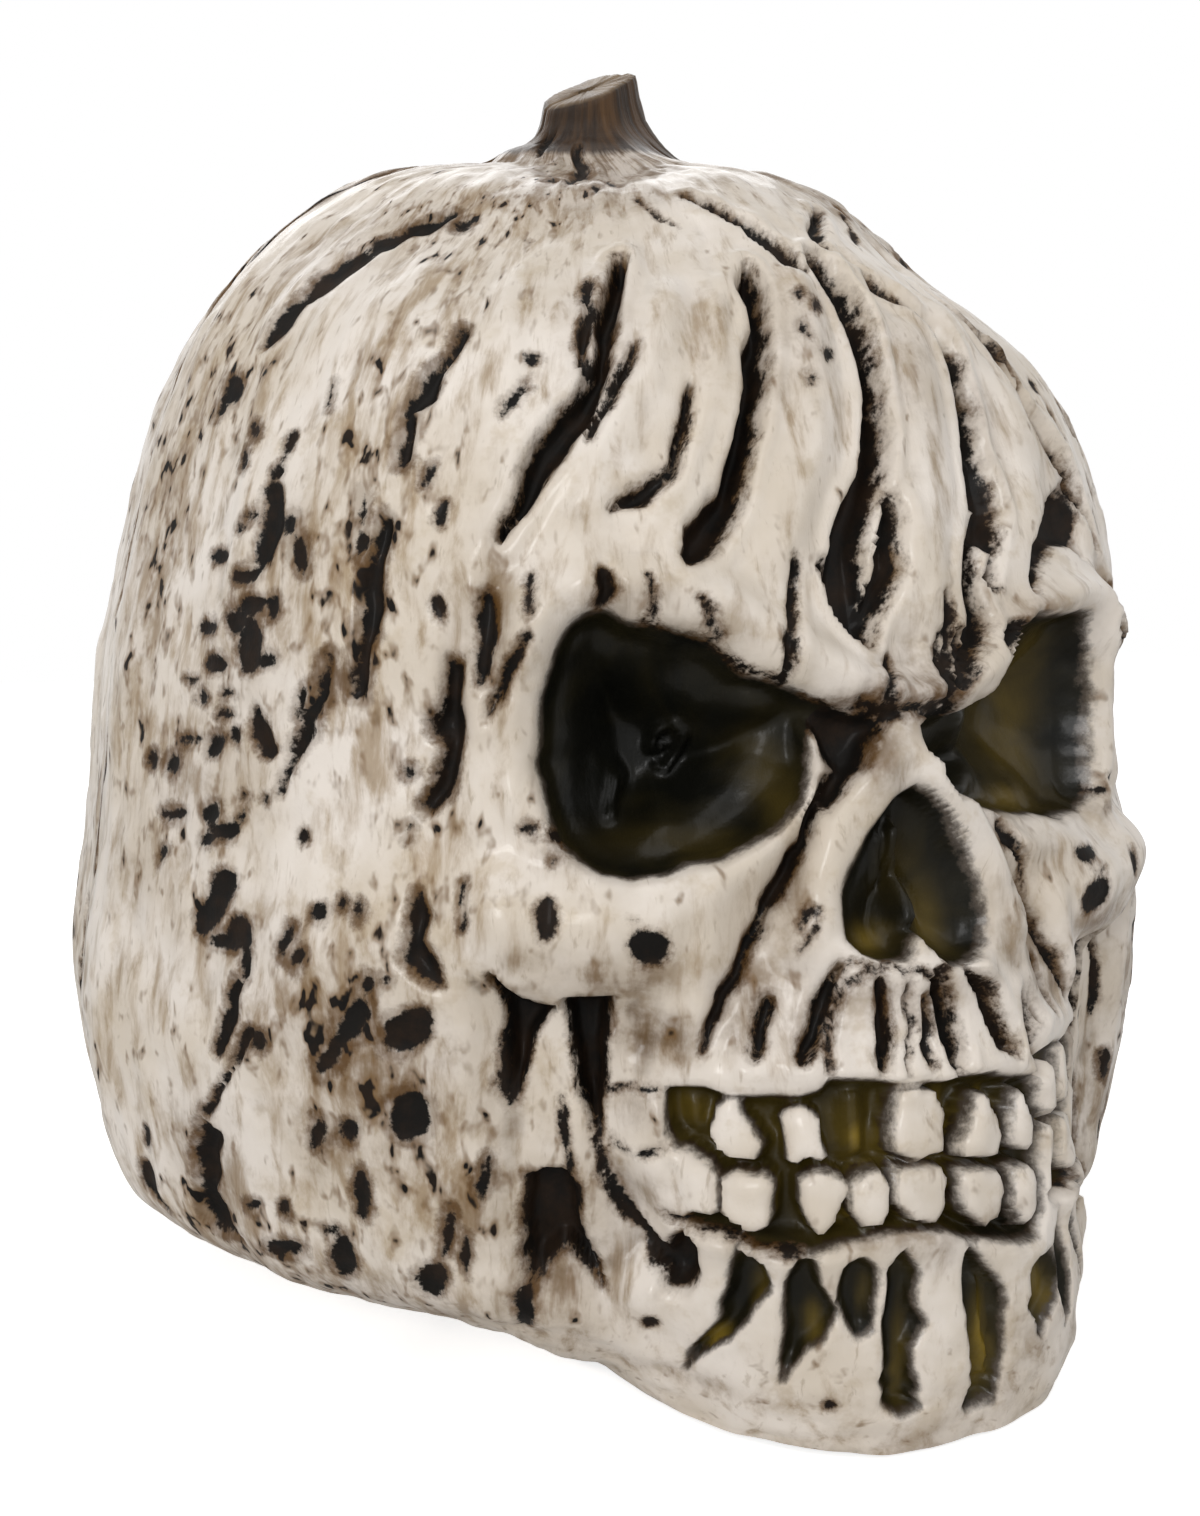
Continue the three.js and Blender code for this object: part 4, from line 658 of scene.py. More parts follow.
class View:
    """What the photograph sees of a skin: the pixel of each point, and which points show."""

    def __init__(self, skin):
        self.skin = skin
        self.across, self.down, depth = to_photo(skin.points)
        sight = eye - skin.points
        sight /= np.linalg.norm(sight, axis=-1, keepdims=True)
        facing = (skin.normals(2) * sight).sum(-1)
        cell, rows, columns = 8, 251, 250
        down_cell = np.clip(self.down // cell, 0, rows - 1)
        across_cell = np.clip(self.across // cell, 0, columns - 1)
        cells = (down_cell * columns + across_cell).astype(int)
        nearest = np.full(rows * columns, np.inf)
        np.minimum.at(nearest, cells[facing > 0], depth[facing > 0])
        self.facing = facing
        self.shown = (facing > 0.1) & (depth < nearest[cells] + 7)
        self.slopes = [
            np.gradient(field, step, axis=axis)
            for field in (self.across, self.down)
            for step, axis in ((skin.turns, 1), (skin.runs, 0))
        ]
        self.shown_at = np.flatnonzero(self.shown)

    def find(self, across, down):
        """Grid place nearest to a pixel, its turn and run, and the slopes of the picture there."""
        off = (self.across.flat[self.shown_at] - across) ** 2 + (self.down.flat[self.shown_at] - down) ** 2
        at = self.shown_at[np.argmin(off)]
        slopes = [field.flat[at] for field in self.slopes]
        size = slopes[0] * slopes[3] - slopes[1] * slopes[2]
        size = size if abs(size) > 1 else 1
        inverse = np.array([[slopes[3], -slopes[1]], [-slopes[2], slopes[0]]]) / size
        missing = np.array([across - self.across.flat[at], down - self.down.flat[at]])
        shift = np.clip(inverse @ missing, (-0.015, -1.5), (0.015, 1.5))
        scale = np.array([self.skin.turn_scale.flat[at], self.skin.run_scale.flat[at]])
        return np.array([self.skin.turn.flat[at], self.skin.run.flat[at]]) + shift, inverse, scale

    def outline(self, pixels):
        """The outline on the skin as (turn, run)."""
        return np.array([self.find(*pixel)[0] for pixel in pixels])

    def stroke(self, points):
        """The stroke on the skin as (turn, run, half width in millimetres)."""
        pixels = np.array(points, float)
        heading = np.gradient(pixels[:, :2], axis=0)
        placed = []
        for (across, down, half), (ha, hd) in zip(points, heading):
            spot, inverse, scale = self.find(across, down)
            crosswise = np.array([-hd, ha]) / max(math.hypot(ha, hd), 1e-6)
            width = half * min(np.linalg.norm(inverse @ crosswise * scale), widest_pixel)
            placed.append((*spot, width))
        return np.array(placed)

    def blot(self, across, down, half_width, half_height, strength):
        """A soft round mark as (turn, run, half width, half height, strength) in millimetres."""
        spot, inverse, scale = self.find(across, down)
        sizes = [
            min(np.linalg.norm(inverse @ step * scale), widest_pixel)
            for step in (np.array([1.0, 0]), np.array([0, 1.0]))
        ]
        return (*spot, half_width * sizes[0], half_height * sizes[1], strength)

    def ellipse(self, across, down, half_width, half_height, lean):
        """The outline of a stain on the skin."""
        turns = np.linspace(0, 2 * math.pi, 12, endpoint=False)
        return self.outline([
            (across + half_width * math.cos(t) + lean * math.sin(t), down + half_height * math.sin(t))
            for t in turns
        ])


def segment_gap(where, near, start, end):
    """Distance to a segment of the skin, and the share of the way along it."""
    turn, run, turn_scale, run_scale = (field[near] for field in where)
    ex, ey = (end[0] - start[0]) * turn_scale, (end[1] - start[1]) * run_scale
    px, py = (turn - start[0]) * turn_scale, (run - start[1]) * run_scale
    share = np.clip((px * ex + py * ey) / np.maximum(ex * ex + ey * ey, 1e-9), 0, 1)
    return np.hypot(px - share * ex, py - share * ey), share


def near_points(where, marks):
    """Points of the skin that lie near a mark."""
    low, high = marks[:, :2].min(0), marks[:, :2].max(0)
    turn, run, turn_scale, run_scale = where
    aside = np.maximum(low[0] - turn, turn - high[0]) * turn_scale
    above = np.maximum(low[1] - run, run - high[1]) * run_scale
    return np.flatnonzero((aside < mark_margin) & (above < mark_margin))


def gap_to_outline(where, outline):
    """Points near an outline and how far inside it they are, negative outside."""
    near = near_points(where, outline)
    nearest, inside = np.full(len(near), 99.0), np.zeros(len(near), bool)
    turn, run = where[0][near], where[1][near]
    for start, end in zip(outline, np.roll(outline, -1, 0)):
        nearest = np.minimum(nearest, segment_gap(where, near, start, end)[0])
        if start[1] != end[1]:
            crossing = (end[0] - start[0]) * (run - start[1]) / (end[1] - start[1]) + start[0]
            inside ^= ((start[1] > run) != (end[1] > run)) & (turn < crossing)
    return near, np.where(inside, nearest, -nearest)


def gap_to_stroke(where, stroke):
    """Points near a stroke, how far inside its width they are, and that width."""
    near = near_points(where, stroke)
    gap, width = np.full(len(near), -99.0), np.ones(len(near))
    for start, end in zip(stroke, stroke[1:]):
        distance, share = segment_gap(where, near, start, end)
        here = start[2] + (end[2] - start[2]) * share
        closer = here - distance > gap
        gap, width = np.where(closer, here - distance, gap), np.where(closer, here, width)
    return near, gap, width


def blots_over(where, blots):
    """Strength of soft round marks at points of the skin."""
    total = np.zeros(len(where[0]))
    for turn, run, half_width, half_height, strength in blots:
        across = (where[0] - turn) * where[2] / half_width
        along = (where[1] - run) * where[3] / half_height
        total = np.maximum(total, strength * np.exp(-across ** 2 - along ** 2))
    return total


def strokes_over(where, strokes):
    """Height of rounded swellings along strokes at points of the skin."""
    total = np.zeros(len(where[0]))
    for height, stroke in strokes:
        near, gap, width = gap_to_stroke(where, stroke)
        swell = height * np.exp(-((np.maximum(width - gap, 0) / np.maximum(width, 0.3)) ** 2))
        total[near] = np.maximum(total[near], swell)
    return total


def raise_to(field, near, values):
    field[near] = np.maximum(field[near], values)


def carve(where, marks):
    """Depth of cut and the paint's edges, in millimetres, at points of the skin."""
    count = len(where[0])
    cut, rim = np.zeros(count), np.zeros(count)
    ink, pane, crown = np.full(count, FAR), np.full(count, FAR), np.full(count, FAR)
    for depth, edge, bowl, outline in marks["windows"]:
        near, gap = gap_to_outline(where, outline)
        raise_to(cut, near, depth * smooth(gap / edge + 0.5) + bowl * smooth(gap / bowl_width))
        raise_to(pane, near, gap)
    for depth, edge, outline in marks["recesses"]:
        near, gap = gap_to_outline(where, outline)
        raise_to(cut, near, depth * smooth(gap / edge + 0.5))
    for depth, edge, outline in marks["voids"]:
        near, gap = gap_to_outline(where, outline)
        raise_to(cut, near, depth * smooth(gap / edge + 0.5))
        raise_to(ink, near, gap)
    for depth, stroke in marks["furrows"]:
        near, gap, width = gap_to_stroke(where, stroke)
        edge = np.maximum(1.3, 1.15 * width)
        raise_to(cut, near, furrow_share * depth * smooth(gap / edge + 0.5))
        raise_to(rim, near, lip_share * depth * bell(gap, -2, 1.6))
        raise_to(ink, near, gap)
    for outline in marks["stains"]:
        near, gap = gap_to_outline(where, outline)
        raise_to(cut, near, stain_depth * smooth(gap / 2 + 0.5))
        raise_to(ink, near, gap)
    for outline in marks["teeth"]:
        near, gap = gap_to_outline(where, outline)
        raise_to(crown, near, gap)
    for outline in marks["mouth"]:
        near, gap = gap_to_outline(where, outline)
        hollow = mouth_depth * smooth(gap / 2.4 + 0.5)
        stand = smooth(crown[near] / tooth_edge + 0.85)
        face = np.exp(-np.maximum(crown[near], 0) / tooth_edge) - 1
        bitten = np.maximum(cut[near], hollow) * (1 - stand) + stand * face
        cut[near] = np.where(gap > -2, bitten, cut[near])
        raise_to(pane, near, np.minimum(gap, -0.5 - crown[near]))
    lining = smooth(pane / 2.5) * strokes_over(where, marks["folds"])
    cut = cut - np.minimum(lining, 0.6 * np.maximum(cut, 0)) - rim * (cut < 0.3)
    # strength of the brown wash with the painted shade laid among it, and of the painted glow
    wash, glow = blots_over(where, marks["washes"]), blots_over(where, marks["glows"])
    return {"cut": cut, "ink": ink, "pane": pane, "wash": wash, "glow": glow}


def query(skin, side):
    """Points of a skin, or their mirror images, shifted a little so that edges aren't even."""
    x, y = skin.turn.ravel() * 100, skin.run.ravel()
    across = 0.45 * lattice_noise(x / 3.1, y / 3.4, 3) + 0.6 * lattice_noise(x / 9, y / 11, 4)
    along = 0.45 * lattice_noise(x / 3.3, y / 3.1, 5) + 0.6 * lattice_noise(x / 10, y / 9, 6)
    turn_scale, run_scale = skin.turn_scale.ravel(), skin.run_scale.ravel()
    turn = side * skin.turn.ravel() + across / turn_scale
    return turn, y + along / run_scale, turn_scale, run_scale


def blended(skin, own, make):
    """A field made where the photograph shows it, and mirrored from the near side elsewhere."""
    shape = skin.turn.shape
    seen, mirrored = make(query(skin, 1)), make(query(skin, -1))

    def join(a, b):
        return own * a.reshape(shape) + (1 - own) * b.reshape(shape)

    if isinstance(seen, dict):
        return {key: join(seen[key], mirrored[key]) for key in seen}
    return join(seen, mirrored)


plain_view = View(front)
seen_well = plain_view.shown & (plain_view.facing > 0.35)
below_cheek = (front.rows[:, 1:2] < 88) & (front.turn > math.radians(14))
own_side = soften(((front.turn <= 0) | (seen_well & ~below_cheek)).astype(float), 14)
placed_swellings = [(swelling_share * height, plain_view.stroke(points)) for height, points in swellings]
swell = blended(front, own_side, lambda where: strokes_over(where, placed_swellings))
swell = soften(swell, 6) * smooth((front.rows[:, 1:2] - rim_height) / 14)
front.points = front.points - front.inward * swell[..., None]
front.measure()

face_view = View(front)
placed_marks = {
    "windows": [(d, e, b, face_view.outline(o)) for d, e, b, o in windows],
    "recesses": [(d, e, face_view.outline(o)) for d, e, o in recesses],
    "voids": [(d, e, face_view.outline(o)) for d, e, o in voids],
    "furrows": [(d, face_view.stroke(p)) for d, p in furrows],
    "stains": [face_view.ellipse(*stain) for stain in stains],
    "teeth": [face_view.outline(tooth) for tooth in teeth],
    "mouth": [face_view.outline(mouth_opening)],
    "folds": [(h, face_view.stroke(p)) for h, p in lining_folds],
    "washes": [face_view.blot(*wash) for wash in washes],
    "glows": [face_view.blot(*glow) for glow in glows],
}
carved_front = blended(front, own_side, lambda where: carve(where, placed_marks))


def fibre_relief(skin):
    """Fine ridges and lumps of the bone, drawn out towards the stem."""
    x, y = skin.turn * 100, skin.run
    return (
        0.6 * lattice_noise(x / 8, y / 24, 11) + 0.2 * lattice_noise(x / 3.4, y / 15, 12)
        + 0.36 * lattice_noise(x / 4.6, y / 6.5, 13) + 0.07 * lattice_noise(x / 2, y / 4, 14)
    )


# Dip of the crown: its depth, (middle, spread) around the head and by radius, and where it ends below. Then
# the radii and heights at which the brown stalk, its sawn cut and the wash round it begin.
dip_depth, dip_turn, dip_radius, dip_floor = 4.6, (-27, 22), (40, 18), 180
stalk_radius = 23
sawn_radius, sawn_height = 9.4, 244.3
round_radius, round_height = 64, 200


def crown_dip(skin):
    """The crown dips in front of the stem, on the side that the photograph looks from."""
    turn = np.degrees(np.arctan2(np.sin(skin.turn), np.cos(skin.turn)))
    radius, height = skin.rows[:, 0:1], skin.rows[:, 1:2]
    return dip_depth * bell(turn, *dip_turn) * bell(radius, *dip_radius) * (height > dip_floor)


def dress(skin, carved):
    """Applies the carving and the fibres, and adds the paint's remaining fields."""
    height, radius = skin.rows[:, 1:2], skin.rows[:, 0:1]
    everywhere = np.ones_like(skin.turn)
    off_rim = smooth((height - rim_height) / 3)
    stalk = smooth((stalk_radius - radius) / 6) * (height > body_top) * everywhere
    cut_face = smooth((sawn_radius - radius) / 0.5) * (height > sawn_height) * everywhere
    calm = 1 - 0.85 * smooth((stem_foot - radius) / 8) * (height > body_top)
    round_stem = 0.95 * smooth((round_radius - radius) / 34) * (height > round_height)
    edge = np.minimum(skin.turn - skin.turns[0], skin.turns[-1] - skin.turn) * skin.turn_scale
    bone = 1 - smooth(carved["pane"] / 1.5 + 0.5)
    fibres = fibre_relief(skin) * (0.35 + 0.65 * bone) * calm
    cut = carved["cut"] * off_rim + crown_dip(skin)
    level = cut - fibres
    # hollows of the fine relief, for the brown wash and the painted shade laid in them
    cavity_for_wash_and_shade = level - soften(level, 14)
    side = smooth((side_of(skin.turn) - 22) / 26)
    patches = 0.6 + 0.6 * lattice_noise(skin.turn * 100 / 17, skin.run / 24, 31)
    seam_dip = 0.35 * smooth(1 - edge / 1.2)
    skin.depth = cut
    skin.points = skin.points + skin.inward * (level + seam_dip)[..., None]
    seam_ink = 0.15 + 0.5 * lattice_noise(skin.run / 9, skin.run * 0 + 2, 21) - edge
    skin.paint = {
        "ink": np.clip(np.maximum(carved["ink"], seam_ink), -8, 8),
        "pane": np.clip(carved["pane"], -8, 8),
        "wash": carved["wash"] + 0.5 * np.exp(-edge / 2.5) + round_stem,
        "glow": carved["glow"],
        "hollow": cavity_for_wash_and_shade,
        # painted shade in the wide recesses and at the bottoms of the sockets
        "deep": level - soften(level, 70),
        "speck": np.clip(side * patches + 0.6 * carved["wash"], 0, 1.2) * bone * (1 - stalk),
        "stalk": stalk,
        "sawn": cut_face,
    }


def zip_strip(first, second, second_at, turned):
    """Triangles between two lines of vertices, given where on the first the second's points lie."""
    faces, i, j = [], 0, 0
    while i < len(first) - 1 or j < len(second) - 1:
        step_first = j == len(second) - 1 or (i < len(first) - 1 and i + 1 <= second_at[j + 1])
        if step_first:
            face = (first[i], first[i + 1], second[j])
            i += 1
        else:
            face = (first[i], second[j + 1], second[j])
            j += 1
        faces.append(face[::-1] if turned else face)
    return faces


# Wall of the shells, the flat ceiling of the hollow under the stem, and how much coarser the inner skin is
wall = 2.6
ceiling_height = 213
ceiling_radii = (20, 1.5)
thinning = 6


def build_shell(name, skin, node, shift, material):
    """A closed shell: the carved skin, a plain inner skin behind it, and the edges between them."""
    rows, columns = skin.turn.shape
    index = np.arange(rows * columns).reshape(rows, columns)

    def row_within(radius):
        return int(np.argmax((skin.rows[:, 0] < radius) & (skin.rows[:, 1] > body_top)))

    crown_row = row_within(30)
    kept_columns = sorted(set(range(0, columns, thinning)) | {columns - 1})
    kept_rows = list(range(0, crown_row, thinning))
    plain = skin_form(skin.turns, skin.rows)
    deepest = skin.depth.copy()
    for _ in range(10):
        wide = np.pad(deepest, 1, mode="edge")
        deepest = np.max([
            wide[1:-1, 1:-1], wide[:-2, 1:-1], wide[2:, 1:-1], wide[1:-1, :-2], wide[1:-1, 2:],
        ], 0)
    behind = plain + skin.inward * (wall + np.maximum(soften(deepest, 8), 0))[..., None]
    inner = behind[np.ix_(kept_rows, kept_columns)]
    ceiling = [
        [(radius * math.sin(t), -radius * math.cos(t), ceiling_height) for t in skin.turns[kept_columns]]
        for radius in ceiling_radii
    ]
    inner = np.concatenate([inner, ceiling])
    inner[0, :, 2] = skin.points[0, kept_columns, 2]
    inner_index = rows * columns + np.arange(inner.shape[0] * inner.shape[1]).reshape(inner.shape[:2])
    quads = np.stack([index[:-1, :-1], index[:-1, 1:], index[1:, 1:], index[1:, :-1]], -1).reshape(-1, 4)
    back = np.stack([
        inner_index[:-1, :-1], inner_index[1:, :-1], inner_index[1:, 1:], inner_index[:-1, 1:],
    ], -1).reshape(-1, 4)
    faces = quads.tolist() + back.tolist()
    rows_at = kept_rows + [row_within(26), row_within(12)]
    faces += zip_strip(index[0].tolist(), inner_index[0].tolist(), kept_columns, True)
    faces += zip_strip(index[-1].tolist(), inner_index[-1].tolist(), kept_columns, False)
    faces += zip_strip(index[:, 0].tolist(), inner_index[:, 0].tolist(), rows_at, False)
    faces += zip_strip(index[:, -1].tolist(), inner_index[:, -1].tolist(), rows_at, True)
    points = np.concatenate([skin.points.reshape(-1, 3), inner.reshape(-1, 3)])
    points[:, 1] += seam_y + shift
    mesh = bpy.data.meshes.new(name)
    mesh.from_pydata((points * MM).tolist(), [], faces)
    extra = len(points) - rows * columns
    inside_paint = {"ink": -8.0, "pane": 8.0}
    for key, field in skin.paint.items():
        values = np.concatenate([field.ravel(), np.full(extra, inside_paint.get(key, 0.0))])
        mesh.attributes.new(key, "FLOAT", "POINT").data.foreach_set("value", values.astype(np.float32))
    around = np.stack([skin.turn * 100, skin.run], -1).reshape(-1, 2)
    inner_around = around.reshape(rows, columns, 2)[np.ix_(kept_rows + [rows - 2, rows - 1], kept_columns)]
    around = np.concatenate([around, inner_around.reshape(-1, 2)]) * 0.01
    corners = np.empty(len(mesh.loops), np.int32)
    mesh.loops.foreach_get("vertex_index", corners)
    mesh.uv_layers.new(name="skin").data.foreach_set("uv", around[corners].ravel().astype(np.float32))
    border = np.zeros(len(points), bool)
    outer_edges = [index[0], index[-1], index[:, 0], index[:, -1]]
    for line in outer_edges + [inner_index[0], inner_index[:, 0], inner_index[:, -1]]:
        border[line] = True
    ends = np.empty(len(mesh.edges) * 2, np.int32)
    mesh.edges.foreach_get("vertices", ends)
    ends = ends.reshape(-1, 2)
    sharp = border[ends].all(1)
    mesh.attributes.new("sharp_edge", "BOOLEAN", "EDGE").data.foreach_set("value", sharp)
    mesh.polygons.foreach_set("use_smooth", np.ones(len(mesh.polygons), bool))
    mesh.materials.append(material)
    mesh.validate()
    shell = bpy.data.objects.new(name, mesh)
    bpy.context.scene.collection.objects.link(shell)
    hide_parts(node)
    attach(shell, "skull")


dress(front, carved_front)


class Paint:
    """Short notation for building a material out of nodes."""

    def __init__(self, name):
        self.material = bpy.data.materials.get(name) or bpy.data.materials.new(name)
        self.material.use_nodes = True
        self.tree = self.material.node_tree
        self.tree.nodes.clear()
        self.shader = self.tree.nodes.new("ShaderNodeBsdfPrincipled")
        out = self.tree.nodes.new("ShaderNodeOutputMaterial")
        self.tree.links.new(self.shader.outputs[0], out.inputs["Surface"])

    def put(self, socket, value):
        if isinstance(value, bpy.types.NodeSocket):
            self.tree.links.new(value, socket)
        elif value is not None:
            if isinstance(value, tuple) and len(value) == 3 and len(socket.default_value) == 4:
                value = (*value, 1)
            socket.default_value = value

    def set(self, **values):
        for key, value in values.items():
            self.put(self.shader.inputs[key.replace("_", " ")], value)

    def field(self, name):
        node = self.tree.nodes.new("ShaderNodeAttribute")
        node.attribute_name = name
        return node.outputs["Fac"]

    def place(self, uv=None):
        if uv:
            node = self.tree.nodes.new("ShaderNodeUVMap")
            node.uv_map = uv
            return node.outputs["UV"]
        return self.tree.nodes.new("ShaderNodeTexCoord").outputs["Object"]

    def stretch(self, vector, scale):
        node = self.tree.nodes.new("ShaderNodeMapping")
        self.put(node.inputs["Vector"], vector)
        node.inputs["Scale"].default_value = scale
        return node.outputs["Vector"]

    def noise(self, vector, scale, detail=3, rough=0.55, warp=0):
        node = self.tree.nodes.new("ShaderNodeTexNoise")
        self.put(node.inputs["Vector"], vector)
        node.inputs["Scale"].default_value = scale
        node.inputs["Detail"].default_value = detail
        node.inputs["Roughness"].default_value = rough
        node.inputs["Distortion"].default_value = warp
        return node.outputs["Fac"]

    def math(self, kind, a, b=None, c=None, clamp=False):
        node = self.tree.nodes.new("ShaderNodeMath")
        node.operation = kind
        node.use_clamp = clamp
        for socket, value in zip(node.inputs, (a, b, c)):
            self.put(socket, value)
        return node.outputs[0]

    def ramp(self, value, low, high, to_low=0.0, to_high=1.0):
        node = self.tree.nodes.new("ShaderNodeMapRange")
        node.interpolation_type = "SMOOTHSTEP"
        names = ("Value", "From Min", "From Max", "To Min", "To Max")
        for name, number in zip(names, (value, low, high, to_low, to_high)):
            self.put(node.inputs[name], number)
        return node.outputs["Result"]

    def mix(self, share, a, b):
        node = self.tree.nodes.new("ShaderNodeMix")
        node.data_type = "RGBA"
        self.put(node.inputs[0], share)
        self.put(node.inputs[6], a)
        self.put(node.inputs[7], b)
        return node.outputs[2]

    def bump(self, height, strength, distance):
        node = self.tree.nodes.new("ShaderNodeBump")
        node.inputs["Strength"].default_value = strength
        node.inputs["Distance"].default_value = distance
        self.put(node.inputs["Height"], height)
        return node.outputs["Normal"]


def tone(red, green, blue):
    """Linear colour of a display colour given in 0 to 255."""
    shares = (red / 255, green / 255, blue / 255)
    return tuple(c / 12.92 if c <= 0.04045 else ((c + 0.055) / 1.055) ** 2.4 for c in shares)


bone_pale, bone_aged, bone_mottled = tone(229, 220, 210), tone(210, 198, 182), tone(182, 162, 130)
smear_tan, fibre_tan, recess_shade_tan = tone(142, 114, 72), tone(124, 99, 60), tone(118, 92, 54)
wash_and_shade_brown, hollow_wash_and_shade_brown, fleck_brown = tone(96, 69, 32), tone(80, 57, 28), tone(108, 77, 36)
rim_brown, edge_brown = tone(40, 27, 12), tone(84, 56, 22)
ink_black, ink_brown = tone(14, 11, 8), tone(34, 23, 14)
stem_dark, stem_light = tone(38, 25, 13), tone(80, 57, 34)
sawn_pale, sawn_dark = tone(126, 107, 84), tone(92, 72, 50)
olive_dark, olive_light, olive_lit = tone(14, 14, 10), tone(34, 30, 16), tone(104, 86, 30)
glow_amber = tone(190, 158, 60)
glow_strength = 0.1


def painted_bone(name):
    """Satin bone paint over olive plastic, with black-brown marks, tan washes, painted shade in the hollows
    and recesses, and unpainted windows with a painted glow.
    """
    p = Paint(name)
    skin = p.place(uv="skin")
    here = p.place()
    ink, pane, wash, glow, speck = (p.field(key) for key in ("ink", "pane", "wash", "glow", "speck"))
    hollow, deep, stalk, sawn = (p.field(key) for key in ("hollow", "deep", "stalk", "sawn"))
    coarse = p.noise(here, 300, 4, 0.62)
    fine = p.noise(here, 1400, 3, 0.6)
    drawn = p.noise(p.stretch(skin, (60, 14, 1)), 1, 4, 0.6, 0.5)
    smear = p.noise(p.stretch(skin, (24, 7, 1)), 1, 5, 0.6, 0.35)
    cloud = p.noise(here, 38, 4, 0.6)
    mottle = p.noise(here, 120, 4, 0.65)

    # Edges of the black paint wander a little and fade through brown
    ragged = p.math("MULTIPLY_ADD", mottle, 1.5, p.math("MULTIPLY_ADD", coarse, 2.8, -2.6))
    ragged = p.math("MULTIPLY_ADD", fine, 1.2, ragged)
    ink_edge = p.math("ADD", ink, ragged)
    black = p.ramp(ink_edge, -0.3, 0.4)
    faded = p.math("MULTIPLY_ADD", speck, 1.3, ink_edge)
    patchy = p.ramp(p.math("ADD", smear, mottle), 0.8, 1.15, 0.4, 1.0)
    halo = p.math("MULTIPLY", p.ramp(faded, -1.1, 0.4), patchy)
    flecks = p.noise(p.stretch(skin, (34, 17, 1)), 1, 2.2, 0.55, 0.25)
    flecks = p.math("MULTIPLY_ADD", speck, 0.17, p.math("MULTIPLY_ADD", cloud, 0.25, flecks))
    fleck = p.ramp(flecks, 0.89, 0.95)
    fleck_halo = p.ramp(flecks, 0.75, 0.92)
    pane_edge = p.math("MULTIPLY_ADD", ragged, 0.4, pane)
    bare = p.ramp(pane_edge, -0.15, 0.25)
    pane_rim = p.ramp(pane_edge, -1.0, -0.1)

    # Bone paint, pale on the ridges and brown where it has run into the hollows; that brown is partly painted
    # shade, and the tan in the wide recesses is painted shade
    base = p.mix(p.ramp(cloud, 0.34, 0.66), bone_pale, bone_aged)
    sunk_wash_and_shade = p.ramp(p.math("MULTIPLY_ADD", mottle, 0.8, p.math("ADD", hollow, -0.4)), 0.05, 1.0)
    smudge = p.math("MULTIPLY_ADD", speck, 0.12, p.math("MULTIPLY_ADD", hollow, 0.08, smear))
    streaks = p.ramp(p.math("MULTIPLY_ADD", smear, 0.7, mottle), 0.7, 1.0, 0.4, 1.0)
    tints = (
        (p.ramp(mottle, 0.52, 0.68), 0.35, bone_mottled),
        (p.ramp(smudge, 0.5, 0.76), 0.7, smear_tan),
        (p.ramp(drawn, 0.6, 0.74), 0.35, fibre_tan),
        # brown wash, and the painted shade laid with it
        (p.math("MULTIPLY", wash, streaks), 0.95, wash_and_shade_brown),
        # painted shade: darker tan in the wide recesses and at the bottoms of the sockets
        (p.ramp(deep, 0.4, 4.0), 0.45, recess_shade_tan),
        # brown where paint has run into the hollows, deepened as painted shade there
        (sunk_wash_and_shade, 0.65, hollow_wash_and_shade_brown),
        (fleck_halo, 0.7, fleck_brown),
        (pane_rim, 0.92, rim_brown),
        (halo, 0.85, edge_brown),
    )
    for mask, share, tint in tints:
        base = p.mix(p.math("MULTIPLY", mask, share), base, tint)
    flute = p.ramp(p.noise(p.stretch(skin, (4, 3, 1)), 1, 4, 0.6), 0.38, 0.7)
    browned = p.math("MULTIPLY_ADD", smear, 1.1, p.math("ADD", stalk, -0.55))
    base = p.mix(p.ramp(browned, 0.1, 0.75), base, p.mix(flute, stem_dark, stem_light))
    base = p.mix(sawn, base, p.mix(p.ramp(mottle, 0.35, 0.7), sawn_pale, sawn_dark))
    dark = p.math("MAXIMUM", black, fleck)
    base = p.mix(dark, base, p.mix(p.ramp(mottle, 0.4, 0.7), ink_black, ink_brown))

    # Unpainted plastic of the windows, with a painted glow of amber colour and faint emission
    flow = p.noise(here, 55, 3, 0.5, 0.8)
    plastic = p.mix(p.ramp(flow, 0.35, 0.7), olive_dark, olive_light)
    lit = p.math("MULTIPLY", glow, p.ramp(flow, 0.3, 0.65, 0.4, 1.0), clamp=True)
    plastic = p.mix(lit, plastic, olive_lit)
    base = p.mix(bare, base, plastic)
    p.set(Base_Color=base, Specular_IOR_Level=0.12)
    dull = p.math("MAXIMUM", dark, p.math("MULTIPLY", halo, 0.7))
    rough = p.math("MULTIPLY_ADD", dull, 0.3, p.math("MULTIPLY_ADD", cloud, 0.16, 0.3))
    p.set(Roughness=p.math("MULTIPLY_ADD", bare, -0.02, rough))
    coat = p.math("MULTIPLY_ADD", dull, -0.3, 0.34)
    coat = p.math("MULTIPLY_ADD", p.math("MAXIMUM", bare, stalk), -0.27, coat, clamp=True)
    p.set(Coat_Weight=coat, Coat_Roughness=0.16)
    glow_color = p.mix(lit, (0, 0, 0), glow_amber)
    p.set(Emission_Color=p.mix(bare, (0, 0, 0), glow_color), Emission_Strength=glow_strength)
    relief = p.math("MULTIPLY_ADD", drawn, 0.35, p.math("MULTIPLY_ADD", fine, 0.1, mottle))
    p.set(Normal=p.bump(relief, 0.4, 0.0007))
    return p.material


bone_paint = painted_bone("bone_paint")
build_shell("skull_front", front, "front_shell", -seam_gap / 2, bone_paint)


# Rear shell of the skull: the ribbed back half of the pumpkin, moulded in the same olive plastic and painted
# the same way. The photograph doesn't show it, so its marks are scattered like those of the face's side.
rear = Skin(even_turns((90, 270), (0.9,)), (1.4, 1.6, 1.5))


